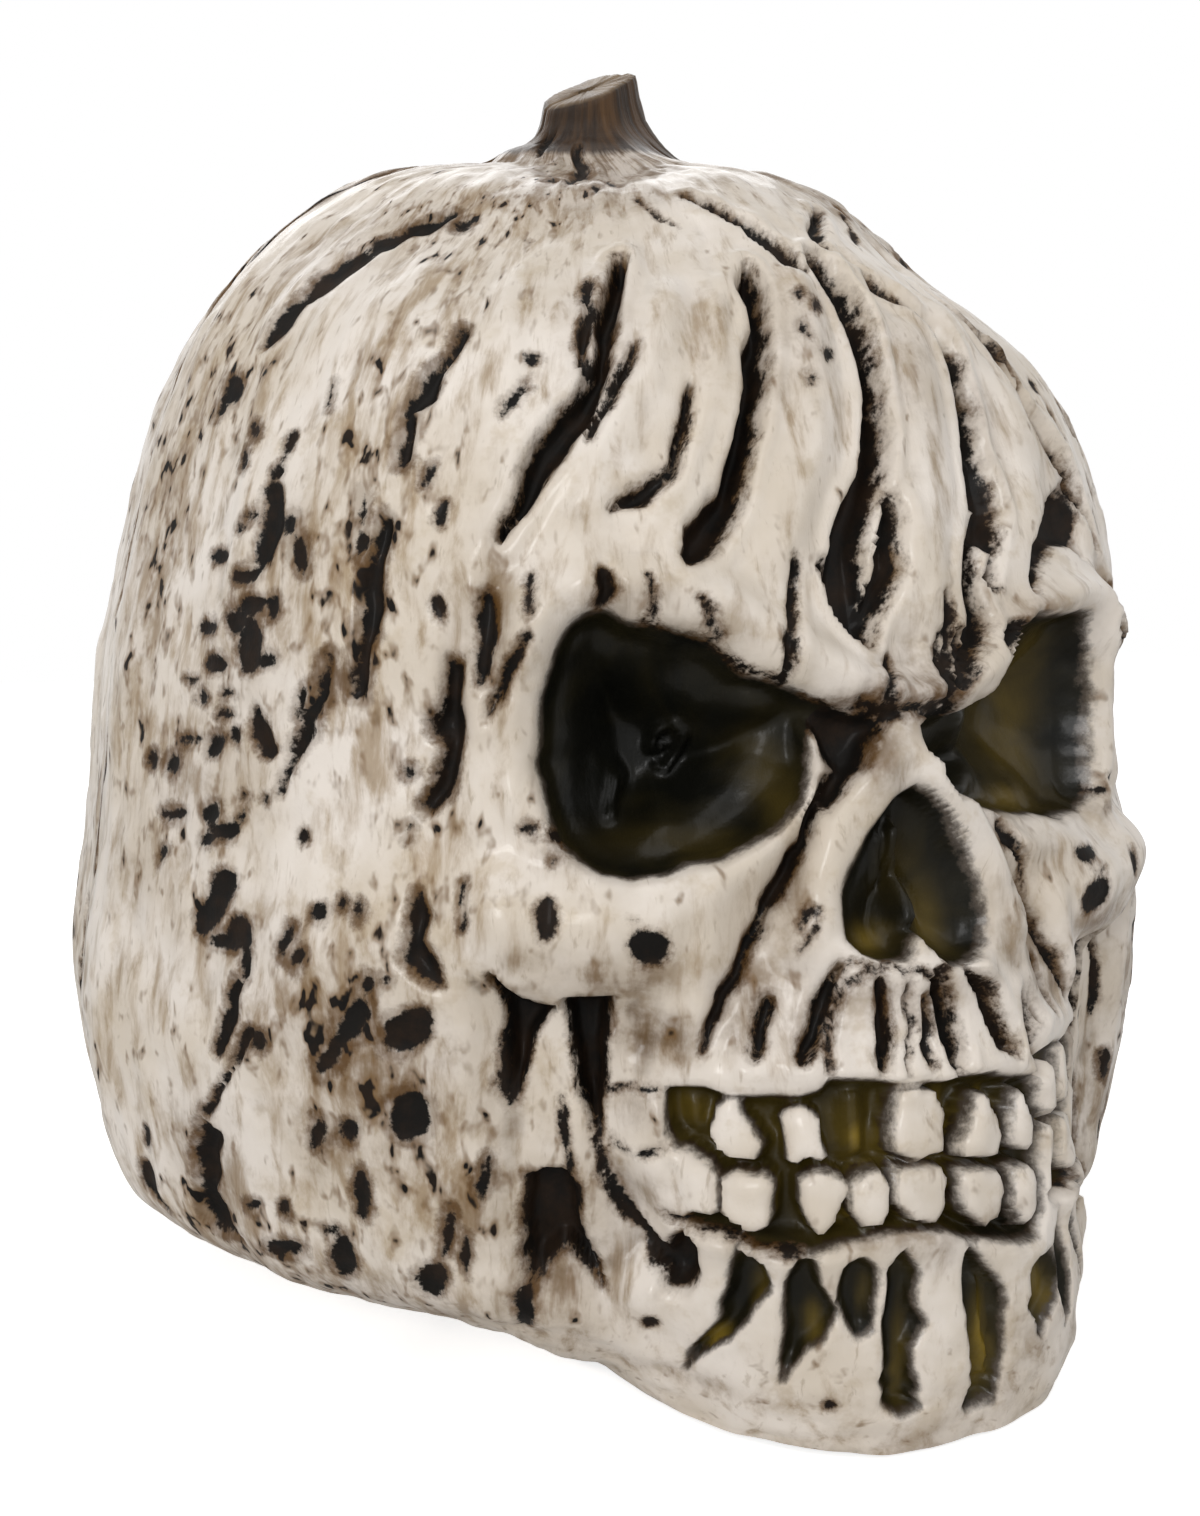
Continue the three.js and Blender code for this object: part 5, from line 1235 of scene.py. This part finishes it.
def scattered_marks(skin, seed):
    """Streaks down the grooves and stains between them, spread over a skin by a fixed seed."""
    chance = np.random.default_rng(seed)
    top = skin.runs[np.argmax(skin.rows[:, 1] > 214)]
    grooves = [math.pi * (2 * k + 1) / rib_count for k in range(rib_count)]
    furrow_list, stain_list, wash_list = [], [], []
    for groove in grooves:
        if not skin.turns[0] + 0.05 < groove < skin.turns[-1] - 0.05:
            continue
        run = top - chance.uniform(4, 20)
        length = chance.uniform(55, 85)
        steps = np.arange(0, length, 7.0)
        sway = np.cumsum(chance.normal(0, 0.008, len(steps)))
        swelled = 0.6 + 1.3 * np.sin(np.linspace(0.3, 3.0, len(steps)))
        width = np.clip(swelled + chance.normal(0, 0.3, len(steps)), 0.3, 3)
        stroke = np.stack([groove + sway, run - steps, width], 1)
        furrow_list.append((chance.uniform(1.6, 2.8), stroke))
        wash_list.append((groove, run - length * 0.4, 9, length * 0.5, 0.5))
        for _ in range(2):
            run = chance.uniform(20, 120)
            steps = np.arange(0, chance.uniform(14, 34), 5.0)
            sway = groove + chance.normal(0, 0.05) + np.cumsum(chance.normal(0, 0.012, len(steps)))
            width = np.clip(chance.normal(0.9, 0.3, len(steps)), 0.2, 2)
            furrow_list.append((0.8, np.stack([sway, run + steps, width], 1)))
    for _ in range(46):
        turn = chance.uniform(skin.turns[0] + 0.03, skin.turns[-1] - 0.03)
        run = chance.uniform(12, 185)
        wide, tall = chance.uniform(0.5, 2.2), chance.uniform(0.8, 3.2)
        angles = np.linspace(0, 2 * math.pi, 10, endpoint=False)
        spot = np.stack([turn + wide * np.cos(angles) / 100, run + tall * np.sin(angles)], 1)
        stain_list.append(spot)
        wash_list.append((turn, run, wide * 3, tall * 3, 0.5))
    for _ in range(14):
        turn, run = chance.uniform(skin.turns[0], skin.turns[-1]), chance.uniform(5, 200)
        wash_list.append((turn, run, chance.uniform(8, 18), chance.uniform(10, 24), chance.uniform(0.3, 0.6)))
    return {
        "windows": [], "recesses": [], "voids": [], "teeth": [], "mouth": [], "folds": [], "glows": [],
        "furrows": furrow_list, "stains": stain_list, "washes": wash_list,
    }


scatter_seed = 12
rear_marks = scattered_marks(rear, scatter_seed)
rear_cut = carve(query(rear, 1), rear_marks)
dress(rear, {key: field.reshape(rear.turn.shape) for key, field in rear_cut.items()})
build_shell("skull_rear", rear, "rear_shell", seam_gap / 2, bone_paint)


# Base plate: one olive moulding that closes the open underside. It sits inside the rim on the shells' screw
# bosses, has two finger holes, and carries the tall round collar that the candle is pushed up into.
def grain_group():
    """Fine moulded grain and handling marks, shared by the moulded plastic and rubber finishes."""
    tree = bpy.data.node_groups.new("moulded_grain", "ShaderNodeTree")
    for name in ("Grain Size", "Mark Size"):
        tree.interface.new_socket(name, in_out="INPUT", socket_type="NodeSocketFloat")
    for name in ("Height", "Marks"):
        tree.interface.new_socket(name, in_out="OUTPUT", socket_type="NodeSocketFloat")
    take, give = tree.nodes.new("NodeGroupInput"), tree.nodes.new("NodeGroupOutput")
    where = tree.nodes.new("ShaderNodeTexCoord")
    for output, size, detail in (("Height", "Grain Size", 2), ("Marks", "Mark Size", 5)):
        noise = tree.nodes.new("ShaderNodeTexNoise")
        noise.inputs["Detail"].default_value = detail
        tree.links.new(where.outputs["Object"], noise.inputs["Vector"])
        tree.links.new(take.outputs[size], noise.inputs["Scale"])
        tree.links.new(noise.outputs["Fac"], give.inputs[output])
    return tree


moulded_grain = grain_group()


def moulded(name, light, dark, rough, grain=2600, marks=70):
    """A plain moulded plastic or rubber: two close tones, a fine grain, and rubbed places."""
    p = Paint(name)
    group = p.tree.nodes.new("ShaderNodeGroup")
    group.node_tree = moulded_grain
    group.inputs["Grain Size"].default_value = grain
    group.inputs["Mark Size"].default_value = marks
    rubbed = p.ramp(group.outputs["Marks"], 0.38, 0.66)
    p.set(Base_Color=p.mix(rubbed, dark, light))
    p.set(Roughness=p.ramp(rubbed, 0, 1, rough + 0.08, rough - 0.06))
    p.set(Normal=p.bump(group.outputs["Height"], 0.5, 0.0002))
    return p.material


def finish_nodes(material, *names):
    """Gives the CAD's own meshes their finish."""
    for name in names:
        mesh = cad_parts[name].data
        for place in range(max(1, len(mesh.materials))):
            if place < len(mesh.materials):
                mesh.materials[place] = material
            else:
                mesh.materials.append(material)


olive_plastic = moulded("olive_plastic_bare", tone(84, 76, 44), tone(52, 46, 24), 0.34)
finish_nodes(olive_plastic, "base_plate")


# Feet: four round rubber buttons pushed into the base plate by a peg. Each has a rounded rim and rings
# moulded in its sole so that it grips the table.
def turned_mesh(name, profile, sides, bend=None):
    """A closed shape turned about the upright axis from (radius, height) points in millimetres."""
    angles = [2 * math.pi * k / sides for k in range(sides)]
    rings, points = [], []
    for radius, height in profile:
        if radius < 1e-6:
            rings.append([len(points)])
            points.append((0.0, 0.0, height))
        else:
            rings.append(list(range(len(points), len(points) + sides)))
            points += [(radius * math.cos(a), radius * math.sin(a), height) for a in angles]
    if bend:
        points = [bend(*point) for point in points]
    faces = []
    for low, high in zip(rings, rings[1:]):
        for k in range(sides):
            n = (k + 1) % sides
            if len(low) == 1 and len(high) > 1:
                faces.append((low[0], high[n], high[k]))
            elif len(high) == 1 and len(low) > 1:
                faces.append((low[k], low[n], high[0]))
            elif len(low) > 1:
                faces.append((low[k], low[n], high[n], high[k]))
    mesh = bpy.data.meshes.new(name)
    mesh.from_pydata([tuple(c * MM for c in point) for point in points], [], faces)
    merged = bmesh.new()
    merged.from_mesh(mesh)
    bmesh.ops.remove_doubles(merged, verts=merged.verts, dist=1e-7)
    bmesh.ops.recalc_face_normals(merged, faces=merged.faces)
    if merged.calc_volume(signed=True) < 0:
        bmesh.ops.reverse_faces(merged, faces=merged.faces)
    merged.to_mesh(mesh)
    merged.free()
    mesh.polygons.foreach_set("use_smooth", [True] * len(mesh.polygons))
    mesh.set_sharp_from_angle(angle=math.radians(38))
    return mesh


def rounded(profile, radius, steps=4):
    """The profile with each corner eased over a radius in millimetres."""
    points = [Vector(point) for point in profile]
    eased = []
    for k, here in enumerate(points):
        if k in (0, len(points) - 1):
            eased.append(tuple(here))
            continue
        before, after = points[k - 1], points[k + 1]
        back, on = before - here, after - here
        reach_back, reach_on = min(radius, back.length * 0.45), min(radius, on.length * 0.45)
        start, end = here + back.normalized() * reach_back, here + on.normalized() * reach_on
        for step in range(steps + 1):
            t = step / steps
            eased.append(tuple(start * (1 - t) ** 2 + here * 2 * t * (1 - t) + end * t * t))
    return eased


def repeat_tree():
    """Places one shape at every point, spun by the point's own angles, as one mesh with one material."""
    tree = bpy.data.node_groups.new("repeat_shape", "GeometryNodeTree")
    inputs = (("Places", "Geometry"), ("Shape", "Object"), ("Size", "Float"), ("Finish", "Material"))
    for name, kind in inputs:
        tree.interface.new_socket(name, in_out="INPUT", socket_type="NodeSocket" + kind)
    tree.interface.new_socket("Pieces", in_out="OUTPUT", socket_type="NodeSocketGeometry")
    take, give = tree.nodes.new("NodeGroupInput"), tree.nodes.new("NodeGroupOutput")
    shape = tree.nodes.new("GeometryNodeObjectInfo")
    spin = tree.nodes.new("GeometryNodeInputNamedAttribute")
    spin.data_type = "FLOAT_VECTOR"
    spin.inputs["Name"].default_value = "spin"
    place = tree.nodes.new("GeometryNodeInstanceOnPoints")
    join = tree.nodes.new("GeometryNodeRealizeInstances")
    finish = tree.nodes.new("GeometryNodeSetMaterial")
    links = (
        (take.outputs["Places"], place.inputs["Points"]),
        (take.outputs["Shape"], shape.inputs["Object"]),
        (shape.outputs["Geometry"], place.inputs["Instance"]),
        (spin.outputs["Attribute"], place.inputs["Rotation"]),
        (take.outputs["Size"], place.inputs["Scale"]),
        (place.outputs["Instances"], join.inputs["Geometry"]),
        (join.outputs["Geometry"], finish.inputs["Geometry"]),
        (take.outputs["Finish"], finish.inputs["Material"]),
        (finish.outputs["Geometry"], give.inputs["Pieces"]),
    )
    for start, end in links:
        tree.links.new(start, end)
    return tree


repeat_shape = repeat_tree()


def repeated(name, mesh, places, material, body, nodes):
    """One piece made of a shape repeated at places given as (x, y, z, spin x, spin y, spin z)."""
    scene = bpy.context.scene
    shape = bpy.data.objects.new(name + "_shape", mesh)
    scene.collection.objects.link(shape)
    points = bpy.data.meshes.new(name)
    points.from_pydata([tuple(c * MM for c in place[:3]) for place in places], [], [])
    spin = points.attributes.new("spin", "FLOAT_VECTOR", "POINT")
    spin.data.foreach_set("vector", [angle for place in places for angle in place[3:]])
    carrier = bpy.data.objects.new(name + "_places", points)
    scene.collection.objects.link(carrier)
    modifier = carrier.modifiers.new("repeat", "NODES")
    modifier.node_group = repeat_shape
    inputs = [item for item in repeat_shape.interface.items_tree if item.in_out == "INPUT"]
    sockets = {item.name: item.identifier for item in inputs}
    for label, value in (("Shape", shape), ("Size", 1.0), ("Finish", material)):
        modifier[sockets[label]] = value
    bpy.context.view_layer.update()
    made = carrier.evaluated_get(bpy.context.evaluated_depsgraph_get())
    piece = bpy.data.objects.new(name, bpy.data.meshes.new_from_object(made))
    scene.collection.objects.link(piece)
    for helper in (carrier, shape):
        bpy.data.objects.remove(helper)
    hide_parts(*nodes)
    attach(piece, body)


def middle_of(node):
    low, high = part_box(node)
    return (low + high) / 2 / MM


rubber_black = moulded("rubber_black", tone(44, 43, 42), tone(24, 24, 23), 0.7, 1800, 90)
foot_names = [f"foot_{k}" for k in range(1, 5)]
foot_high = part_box("foot_1")[1].z / MM
foot_outline = rounded([
    (0, 0.5), (1.2, 0.5), (1.2, 0), (2.7, 0), (2.7, 0.5), (3.8, 0.5), (3.8, 0), (5.7, 0), (5.8, 5.5),
    (5.4, 5.7), (2, 5.7), (1.85, 7.4), (2, 8.2), (1.4, foot_high), (0, foot_high),
], 0.5)
foot_shape = turned_mesh("foot_shape", foot_outline, 40)
foot_places = [(middle_of(name).x, middle_of(name).y, 0, 0, 0, 0) for name in foot_names]
repeated("feet", foot_shape, foot_places, rubber_black, "skull", foot_names)


# Screws: zinc-plated steel with a pan head and a cross recess. Four hold the base plate to the shells'
# bosses, and three smaller ones hold the candle's deck on its housing.
def metal(name, light, dark, rough):
    """Plated or bright steel, duller where it is worn."""
    p = Paint(name)
    cloud = p.noise(p.place(), 240, 4)
    fine = p.noise(p.place(), 1600, 3)
    worn = p.ramp(cloud, 0.4, 0.62)
    p.set(Base_Color=p.mix(worn, dark, light), Metallic=1.0, Normal=p.bump(fine, 0.3, 0.0001))
    p.set(Roughness=p.ramp(cloud, 0.3, 0.7, rough + 0.1, rough - 0.08))
    return p.material


def screw_mesh(name, head_radius, head_height, shank_radius, length):
    """A pan-head screw that points up, with its head under z = 0, a cross recess and a rolled thread."""
    wing, slot = head_radius * 0.62, head_radius * 0.15
    dome = [(head_radius * s, -head_height * (1 - 0.45 * s ** 4)) for s in (k / 14 for k in range(1, 14))]
    head = [(0, -head_height)] + dome + [
        (head_radius, -head_height * 0.45), (head_radius, -head_height * 0.12), (head_radius * 0.96, 0),
    ]
    pitch = shank_radius * 0.75
    steps = int(length / pitch * 6)
    shank = [(shank_radius * 0.9, length * k / steps) for k in range(steps)]
    tip = [(shank_radius * 0.5, length - 0.1), (0, length)]

    def shaped(x, y, z):
        radius, angle = math.hypot(x, y), math.atan2(y, x)
        if z < 0 and radius < head_radius * 0.9:
            across = max(0.0, 1 - max(0.0, min(abs(x), abs(y)) - slot) / 0.12)
            along = max(0.0, min(1.0, (wing - max(abs(x), abs(y))) / 0.2))
            z += head_height * 0.6 * min(1.0, across) * along
        elif z > 0.01 and 0.8 * shank_radius < radius < shank_radius:
            wave = (z / pitch + angle / (2 * math.pi)) % 1
            grow = 1 + 0.1 * (1 - abs(2 * wave - 1)) * min(1.0, (length - z) / 2)
            x, y = x * grow, y * grow
        return x, y, z

    return turned_mesh(name, head + shank + tip, 48, shaped)


def screw_places(names, seat, tilt, turn_step):
    """Where the screws of a set stand, each turned a little further than the last."""
    spots = [middle_of(name) for name in names]
    return [(spot.x, spot.y, seat, tilt, 0, turn_step * k) for k, spot in enumerate(spots)]


zinc_steel = metal("zinc_steel", tone(205, 206, 208), tone(150, 152, 156), 0.34)
base_screw_names = [f"base_screw_{k}" for k in range(1, 5)]
base_head_height = 2.2
base_head_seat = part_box("base_screw_1")[0].z / MM + base_head_height
base_screw_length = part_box("base_screw_1")[1].z / MM - base_head_seat
base_places = screw_places(base_screw_names, base_head_seat, 0, 0.7)
base_screw_shape = screw_mesh("base_screw_shape", 3.4, base_head_height, 1.5, base_screw_length)
repeated("base_screws", base_screw_shape, base_places, zinc_steel, "skull", base_screw_names)

deck_screw_names = [f"deck_screw_{k}" for k in range(1, 4)]
deck_head_height = 1.6
deck_head_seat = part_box("deck_screw_1")[1].z / MM - deck_head_height
deck_screw_length = deck_head_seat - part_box("deck_screw_1")[0].z / MM
deck_places = screw_places(deck_screw_names, deck_head_seat, math.pi, 0.9)
deck_screw_shape = screw_mesh("deck_screw_shape", 2.4, deck_head_height, 1.1, deck_screw_length)
repeated("deck_screws", deck_screw_shape, deck_places, zinc_steel, "candle", deck_screw_names)


# Candle housing: a black moulded cup with a flange that stops under the base plate, a rubber ring that
# grips the collar, the battery bay with its hinged door, and the slide switch beside it.
black_plastic = moulded("black_plastic", tone(46, 45, 43), tone(27, 26, 25), 0.5, 3000)
ivory_plastic = moulded("ivory_plastic", tone(226, 220, 204), tone(206, 198, 180), 0.42)
spring_steel = metal("spring_steel", tone(214, 212, 206), tone(160, 158, 150), 0.3)
finish_nodes(black_plastic, "candle_housing", "battery_door", "switch_body")
finish_nodes(rubber_black, "grip_ring")
finish_nodes(ivory_plastic, "switch_knob")
finish_nodes(zinc_steel, "door_hinge_pin")
finish_nodes(spring_steel, *[f"{kind}_contact_{k}" for kind in ("spring", "plate") for k in (1, 2, 3)])


# Cells: three AAA cells side by side in the bay, each the other way round from its neighbour. A plain
# printed jacket covers the steel can, which shows at both ends, with the raised contact at one.
def cell_jacket(low, high):
    """A blue and grey jacket between two bare steel ends."""
    p = Paint("cell_jacket_printed")
    split = p.tree.nodes.new("ShaderNodeSeparateXYZ")
    p.put(split.inputs[0], p.place())
    along = split.outputs["Y"]
    inset = 1.4 * MM
    foot, head = p.math("LESS_THAN", along, low + inset), p.math("GREATER_THAN", along, high - inset)
    ends = p.math("MAXIMUM", foot, head)
    band = p.math("GREATER_THAN", along, low + 0.72 * (high - low))
    scuff = p.noise(p.place(), 300, 4)
    jacket = p.mix(band, tone(46, 74, 122), tone(196, 196, 198))
    jacket = p.mix(p.ramp(scuff, 0.5, 0.72, 0.0, 0.35), jacket, tone(150, 156, 166))
    p.set(Base_Color=p.mix(ends, jacket, tone(208, 206, 200)), Metallic=p.ramp(ends, 0, 1))
    p.set(Roughness=p.ramp(scuff, 0.3, 0.7, 0.24, 0.42))
    return p.material


cell_names = [f"battery_{k}" for k in range(1, 4)]
cell_low, cell_high = (corner.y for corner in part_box("battery_1"))
cell_length = (cell_high - cell_low) / MM
cell_outline = rounded([
    (0, 0.25), (3.6, 0.25), (3.9, 0), (5.25, 0), (5.25, 1.1), (5.05, 1.5), (5.25, 1.9),
    (5.25, cell_length - 1.9), (5.1, cell_length - 1.5), (5.25, cell_length - 1.0),
    (2.6, cell_length - 1.0), (2.2, cell_length), (0, cell_length),
], 0.3)
cell_places = []
for k, name in enumerate(cell_names):
    middle, way = middle_of(name), -1 if k == 1 else 1
    cell_places.append((middle.x, middle.y - way * cell_length / 2, middle.z, -way * math.pi / 2, 0, 0))
cell_shape = turned_mesh("cell_shape", cell_outline, 40)
jacket = cell_jacket(cell_low, cell_high)
repeated("battery_cells", cell_shape, cell_places, jacket, "candle", cell_names)


# Circuit board and leads: a round green board on the bay's standoffs with the flicker chip, and a red and
# a black lead that rise through the deck and the post to the lamp.
def solder_mask():
    """Green lacquer with pale lines where the copper runs."""
    p = Paint("solder_mask_green")
    trace = p.tree.nodes.new("ShaderNodeTexVoronoi")
    trace.inputs["Scale"].default_value = 260
    p.put(trace.inputs["Vector"], p.place())
    lines = p.ramp(trace.outputs["Distance"], 0.1, 0.14, 1.0, 0.0)
    fine = p.noise(p.place(), 900, 3)
    green = p.mix(fine, tone(24, 78, 44), tone(38, 104, 62))
    p.set(Base_Color=p.mix(lines, green, tone(176, 170, 150)))
    p.set(Roughness=p.ramp(lines, 0, 1, 0.32, 0.5), Normal=p.bump(lines, 0.4, 0.0001))
    return p.material


finish_nodes(solder_mask(), "circuit_board")
finish_nodes(moulded("wire_red_sleeve", tone(168, 40, 32), tone(128, 24, 20), 0.46), "lamp_wire_1")
finish_nodes(moulded("wire_black_sleeve", tone(40, 40, 40), tone(22, 22, 22), 0.46), "lamp_wire_2")


# Candle body: a wax-coloured deck and a tall sleeve on it, moulded to look like a part-burnt candle with an
# uneven melted rim, a dished top and a few runs down its side. The lamp post stands inside it.
def wax(name):
    """Cream plastic with the soft look of wax."""
    p = Paint(name)
    cloud, fine = p.noise(p.place(), 60, 4), p.noise(p.place(), 700, 3)
    p.set(Base_Color=p.mix(p.ramp(cloud, 0.3, 0.7), tone(222, 206, 174), tone(238, 227, 203)))
    p.set(Roughness=p.ramp(fine, 0.3, 0.7, 0.42, 0.56))
    p.set(Subsurface_Weight=0.12, Subsurface_Scale=0.003, Subsurface_Radius=(1.0, 0.6, 0.35))
    p.set(Normal=p.bump(p.math("ADD", cloud, fine), 0.3, 0.0004))
    return p.material


def add_turned(name, outline, sides, material, node, bend=None):
    """A turned piece of the candle, on the axis of the CAD node that it stands for."""
    axis = middle_of(node)
    shift = bend or (lambda x, y, z: (x, y, z))

    def placed(x, y, z):
        x, y, z = shift(x, y, z)
        return x + axis.x, y + axis.y, z

    piece = bpy.data.objects.new(name, turned_mesh(name, outline, sides, placed))
    piece.data.materials.append(material)
    bpy.context.scene.collection.objects.link(piece)
    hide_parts(node)
    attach(piece, "candle")


wax_plastic = wax("wax_plastic_cream")
finish_nodes(wax_plastic, "candle_deck", "led_post")
sleeve_low, sleeve_high = (corner.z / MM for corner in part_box("candle_sleeve"))
sleeve_radius = (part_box("candle_sleeve")[1].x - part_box("candle_sleeve")[0].x) / 2 / MM
lid_top, lid_under = sleeve_high - 3, sleeve_high - 5
sleeve_wall = 1.6
run_start, run_depth, melt_depth = 7, 0.028, 3.4
outside = [(sleeve_radius, sleeve_low + (sleeve_high - 1.5 - sleeve_low) * k / 30) for k in range(31)]
sleeve_outline = outside + [
    (sleeve_radius - 0.3, sleeve_high - 0.6), (sleeve_radius - 1.2, sleeve_high),
    (20.8, sleeve_high - 0.5), (19.2, sleeve_high - 1.7), (16, sleeve_high - 2.5),
    (11, lid_top), (8.6, lid_top), (6, lid_top), (4.2, lid_top), (4.2, lid_under), (11, lid_under),
    (20.5, sleeve_high - 3.6), (sleeve_radius - sleeve_wall, sleeve_high - 6),
    (sleeve_radius - sleeve_wall, sleeve_low), (sleeve_radius, sleeve_low),
]


def melted(x, y, z):
    """Lets the rim sag unevenly, and leaves a few runs of wax standing out of the side."""
    angle, radius = math.atan2(y, x), math.hypot(x, y)
    if radius > 16 and z > sleeve_high - melt_depth:
        sag = 0.9 + 0.5 * math.sin(3 * angle + 0.4) + 0.4 * math.sin(5 * angle + 2)
        z -= max(0.0, sag) * min(1.0, (z - sleeve_high + melt_depth) / melt_depth)
    if radius > sleeve_radius - 0.6 and z > sleeve_low + run_start:
        run = max(0.0, math.cos(4 * angle + 0.9 * math.sin(2 * angle))) ** 10
        reach = sleeve_low + 22 + 16 * math.sin(2.3 * angle)
        between = 1 - run * max(0.0, min(1.0, (z - reach) / 6))
        grow = 1 - run_depth * between * min(1.0, (z - sleeve_low - run_start) / 3)
        x, y = x * grow, y * grow
    return x, y, z


add_turned("wax_sleeve", sleeve_outline, 120, wax_plastic, "candle_sleeve", melted)


# Lamp and flame tip: a warm diode with a domed lens and a flat rim, under a soft amber silicone flame that
# stands in the dish of the sleeve and leans a little at its point.
def lamp_lens():
    """Clear warm resin, as of a small round diode."""
    p = Paint("warm_lens")
    cloud = p.noise(p.place(), 500, 2)
    p.set(Base_Color=p.mix(cloud, tone(250, 226, 160), tone(255, 240, 200)))
    p.set(Roughness=p.ramp(cloud, 0.3, 0.7, 0.05, 0.12), Transmission_Weight=0.8, IOR=1.5)
    return p.material


def amber_silicone():
    """Milky silicone, paler at the foot of the flame than at its point."""
    p = Paint("amber_silicone")
    split = p.tree.nodes.new("ShaderNodeSeparateXYZ")
    p.put(split.inputs[0], p.place())
    low, high = (corner.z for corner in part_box("flame_tip"))
    up = p.ramp(split.outputs["Z"], low, high)
    fine = p.noise(p.place(), 900, 3)
    p.set(Base_Color=p.mix(up, tone(244, 186, 84), tone(214, 116, 32)))
    p.set(Roughness=p.ramp(fine, 0.3, 0.7, 0.36, 0.5), Normal=p.bump(fine, 0.3, 0.0002))
    p.set(Subsurface_Weight=0.4, Subsurface_Scale=0.004, Subsurface_Radius=(1.0, 0.5, 0.2))
    return p.material


lens_low, lens_high = (corner.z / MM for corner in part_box("led_lamp"))
lens_radius = 2.5
dome_angles = [math.pi * k / 16 for k in range(8)]
lens_outline = [
    (0, lens_low), (2.7, lens_low), (2.9, lens_low + 0.2), (2.9, lens_low + 0.9), (lens_radius, lens_low + 1),
]
lens_outline += [
    (lens_radius * math.cos(a), lens_high - lens_radius + lens_radius * math.sin(a)) for a in dome_angles
]
lens_outline += [(0, lens_high)]
add_turned("lamp_lens", lens_outline, 32, lamp_lens(), "led_lamp")

flame_low, flame_high = (corner.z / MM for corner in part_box("flame_tip"))
flame_rise = flame_high - flame_low
flame_bore = 3.2
flame_foot = [
    (flame_bore, flame_low), (7.4, flame_low), (7.6, flame_low + 0.3), (7.5, flame_low + 1),
    (6.2, flame_low + 1.5), (4.7, flame_low + 2.4),
]
flame_belly = [
    (5.6 * math.sin(math.pi * (1 - t) ** 0.8) ** 0.75, flame_low + flame_rise * t)
    for t in (0.14, 0.2, 0.28, 0.36, 0.44, 0.52)
]
flame_point = [
    (radius, flame_low + share * flame_rise)
    for radius, share in ((4.1, 0.62), (3.0, 0.73), (1.9, 0.84), (0.9, 0.94))
]
flame_point += [(0.3, flame_high - 0.2), (0, flame_high)]
flame_hollow = [
    (0, lens_high + 1.55), (1.6, lens_high + 0.3), (flame_bore, lens_high - 2.2), (flame_bore, flame_low),
]
flame_outline = flame_foot + flame_belly + flame_point + flame_hollow


def leaning(x, y, z):
    """Bends the flame over at its point."""
    up = max(0.0, (z - lens_high - 2) / (flame_high - lens_high - 2))
    return x + 1.1 * up * up, y + 0.5 * math.sin(3 * up) * up, z


add_turned("silicone_flame", flame_outline, 40, amber_silicone(), "flame_tip", leaning)


# Studio: a plain pale floor, a white background for the camera and for reflections, and soft lamps.
floor_half = 1.6
floor_z = cad_box[0].z
floor_mesh = bpy.data.meshes.new("floor")
floor_mesh.from_pydata([
    (-floor_half, -floor_half, floor_z), (floor_half, -floor_half, floor_z),
    (floor_half, floor_half, floor_z), (-floor_half, floor_half, floor_z),
], [], [(0, 1, 2, 3)])
floor = bpy.data.objects.new("floor", floor_mesh)
bpy.context.scene.collection.objects.link(floor)


def floor_white():
    """A white floor that the camera sees as white as the background, apart from the object's shadow."""
    p = Paint("floor_white")
    p.set(Base_Color=(0.86, 0.86, 0.86), Roughness=0.9, Specular_IOR_Level=0.0)
    path = p.tree.nodes.new("ShaderNodeLightPath")
    seen = p.math("MULTIPLY", path.outputs["Is Camera Ray"], 0.7)
    p.set(Emission_Color=(1.0, 1.0, 1.0), Emission_Strength=seen)
    return p.material


floor_mesh.materials.append(floor_white())


def lamp(name, spot, size, power):
    """A soft lamp that points at the middle of the skull."""
    data = bpy.data.lights.new(name, "AREA")
    data.shape = "RECTANGLE"
    data.size, data.size_y = size
    data.energy = power
    light = bpy.data.objects.new(name, data)
    bpy.context.scene.collection.objects.link(light)
    aim = Vector((0, 0, 0.12))
    light.location = spot
    light.rotation_euler = (aim - Vector(spot)).to_track_quat("-Z", "Y").to_euler()


lamp("key_right", (0.6, -1.2, 0.8), (0.8, 0.8), 2.6)
lamp("top", (-0.5, -0.35, 1.3), (0.8, 0.8), 3.3)
lamp("left", (-1.2, -1.1, 0.7), (0.5, 0.7), 11)
lamp("behind", (0.3, 1.2, 1.0), (1.2, 0.8), 4)


def studio_world():
    """Even light from all round, under a background that the camera and reflections see as white."""
    world = bpy.data.worlds.new("studio")
    bpy.context.scene.world = world
    world.use_nodes = True
    tree = world.node_tree
    tree.nodes.clear()
    path = tree.nodes.new("ShaderNodeLightPath")
    light, white = (tree.nodes.new("ShaderNodeBackground") for _ in range(2))
    for node, strength in ((light, 0.38), (white, 1.0)):
        node.inputs["Color"].default_value = (1, 1, 1, 1)
        node.inputs["Strength"].default_value = strength
    total = path.outputs["Is Camera Ray"]
    for kind in ("Is Glossy Ray", "Is Transmission Ray"):
        add = tree.nodes.new("ShaderNodeMath")
        add.operation = "ADD"
        add.use_clamp = True
        tree.links.new(total, add.inputs[0])
        tree.links.new(path.outputs[kind], add.inputs[1])
        total = add.outputs[0]
    shade = tree.nodes.new("ShaderNodeMixShader")
    output = tree.nodes.new("ShaderNodeOutputWorld")
    tree.links.new(total, shade.inputs[0])
    tree.links.new(light.outputs[0], shade.inputs[1])
    tree.links.new(white.outputs[0], shade.inputs[2])
    tree.links.new(shade.outputs[0], output.inputs["Surface"])


studio_world()
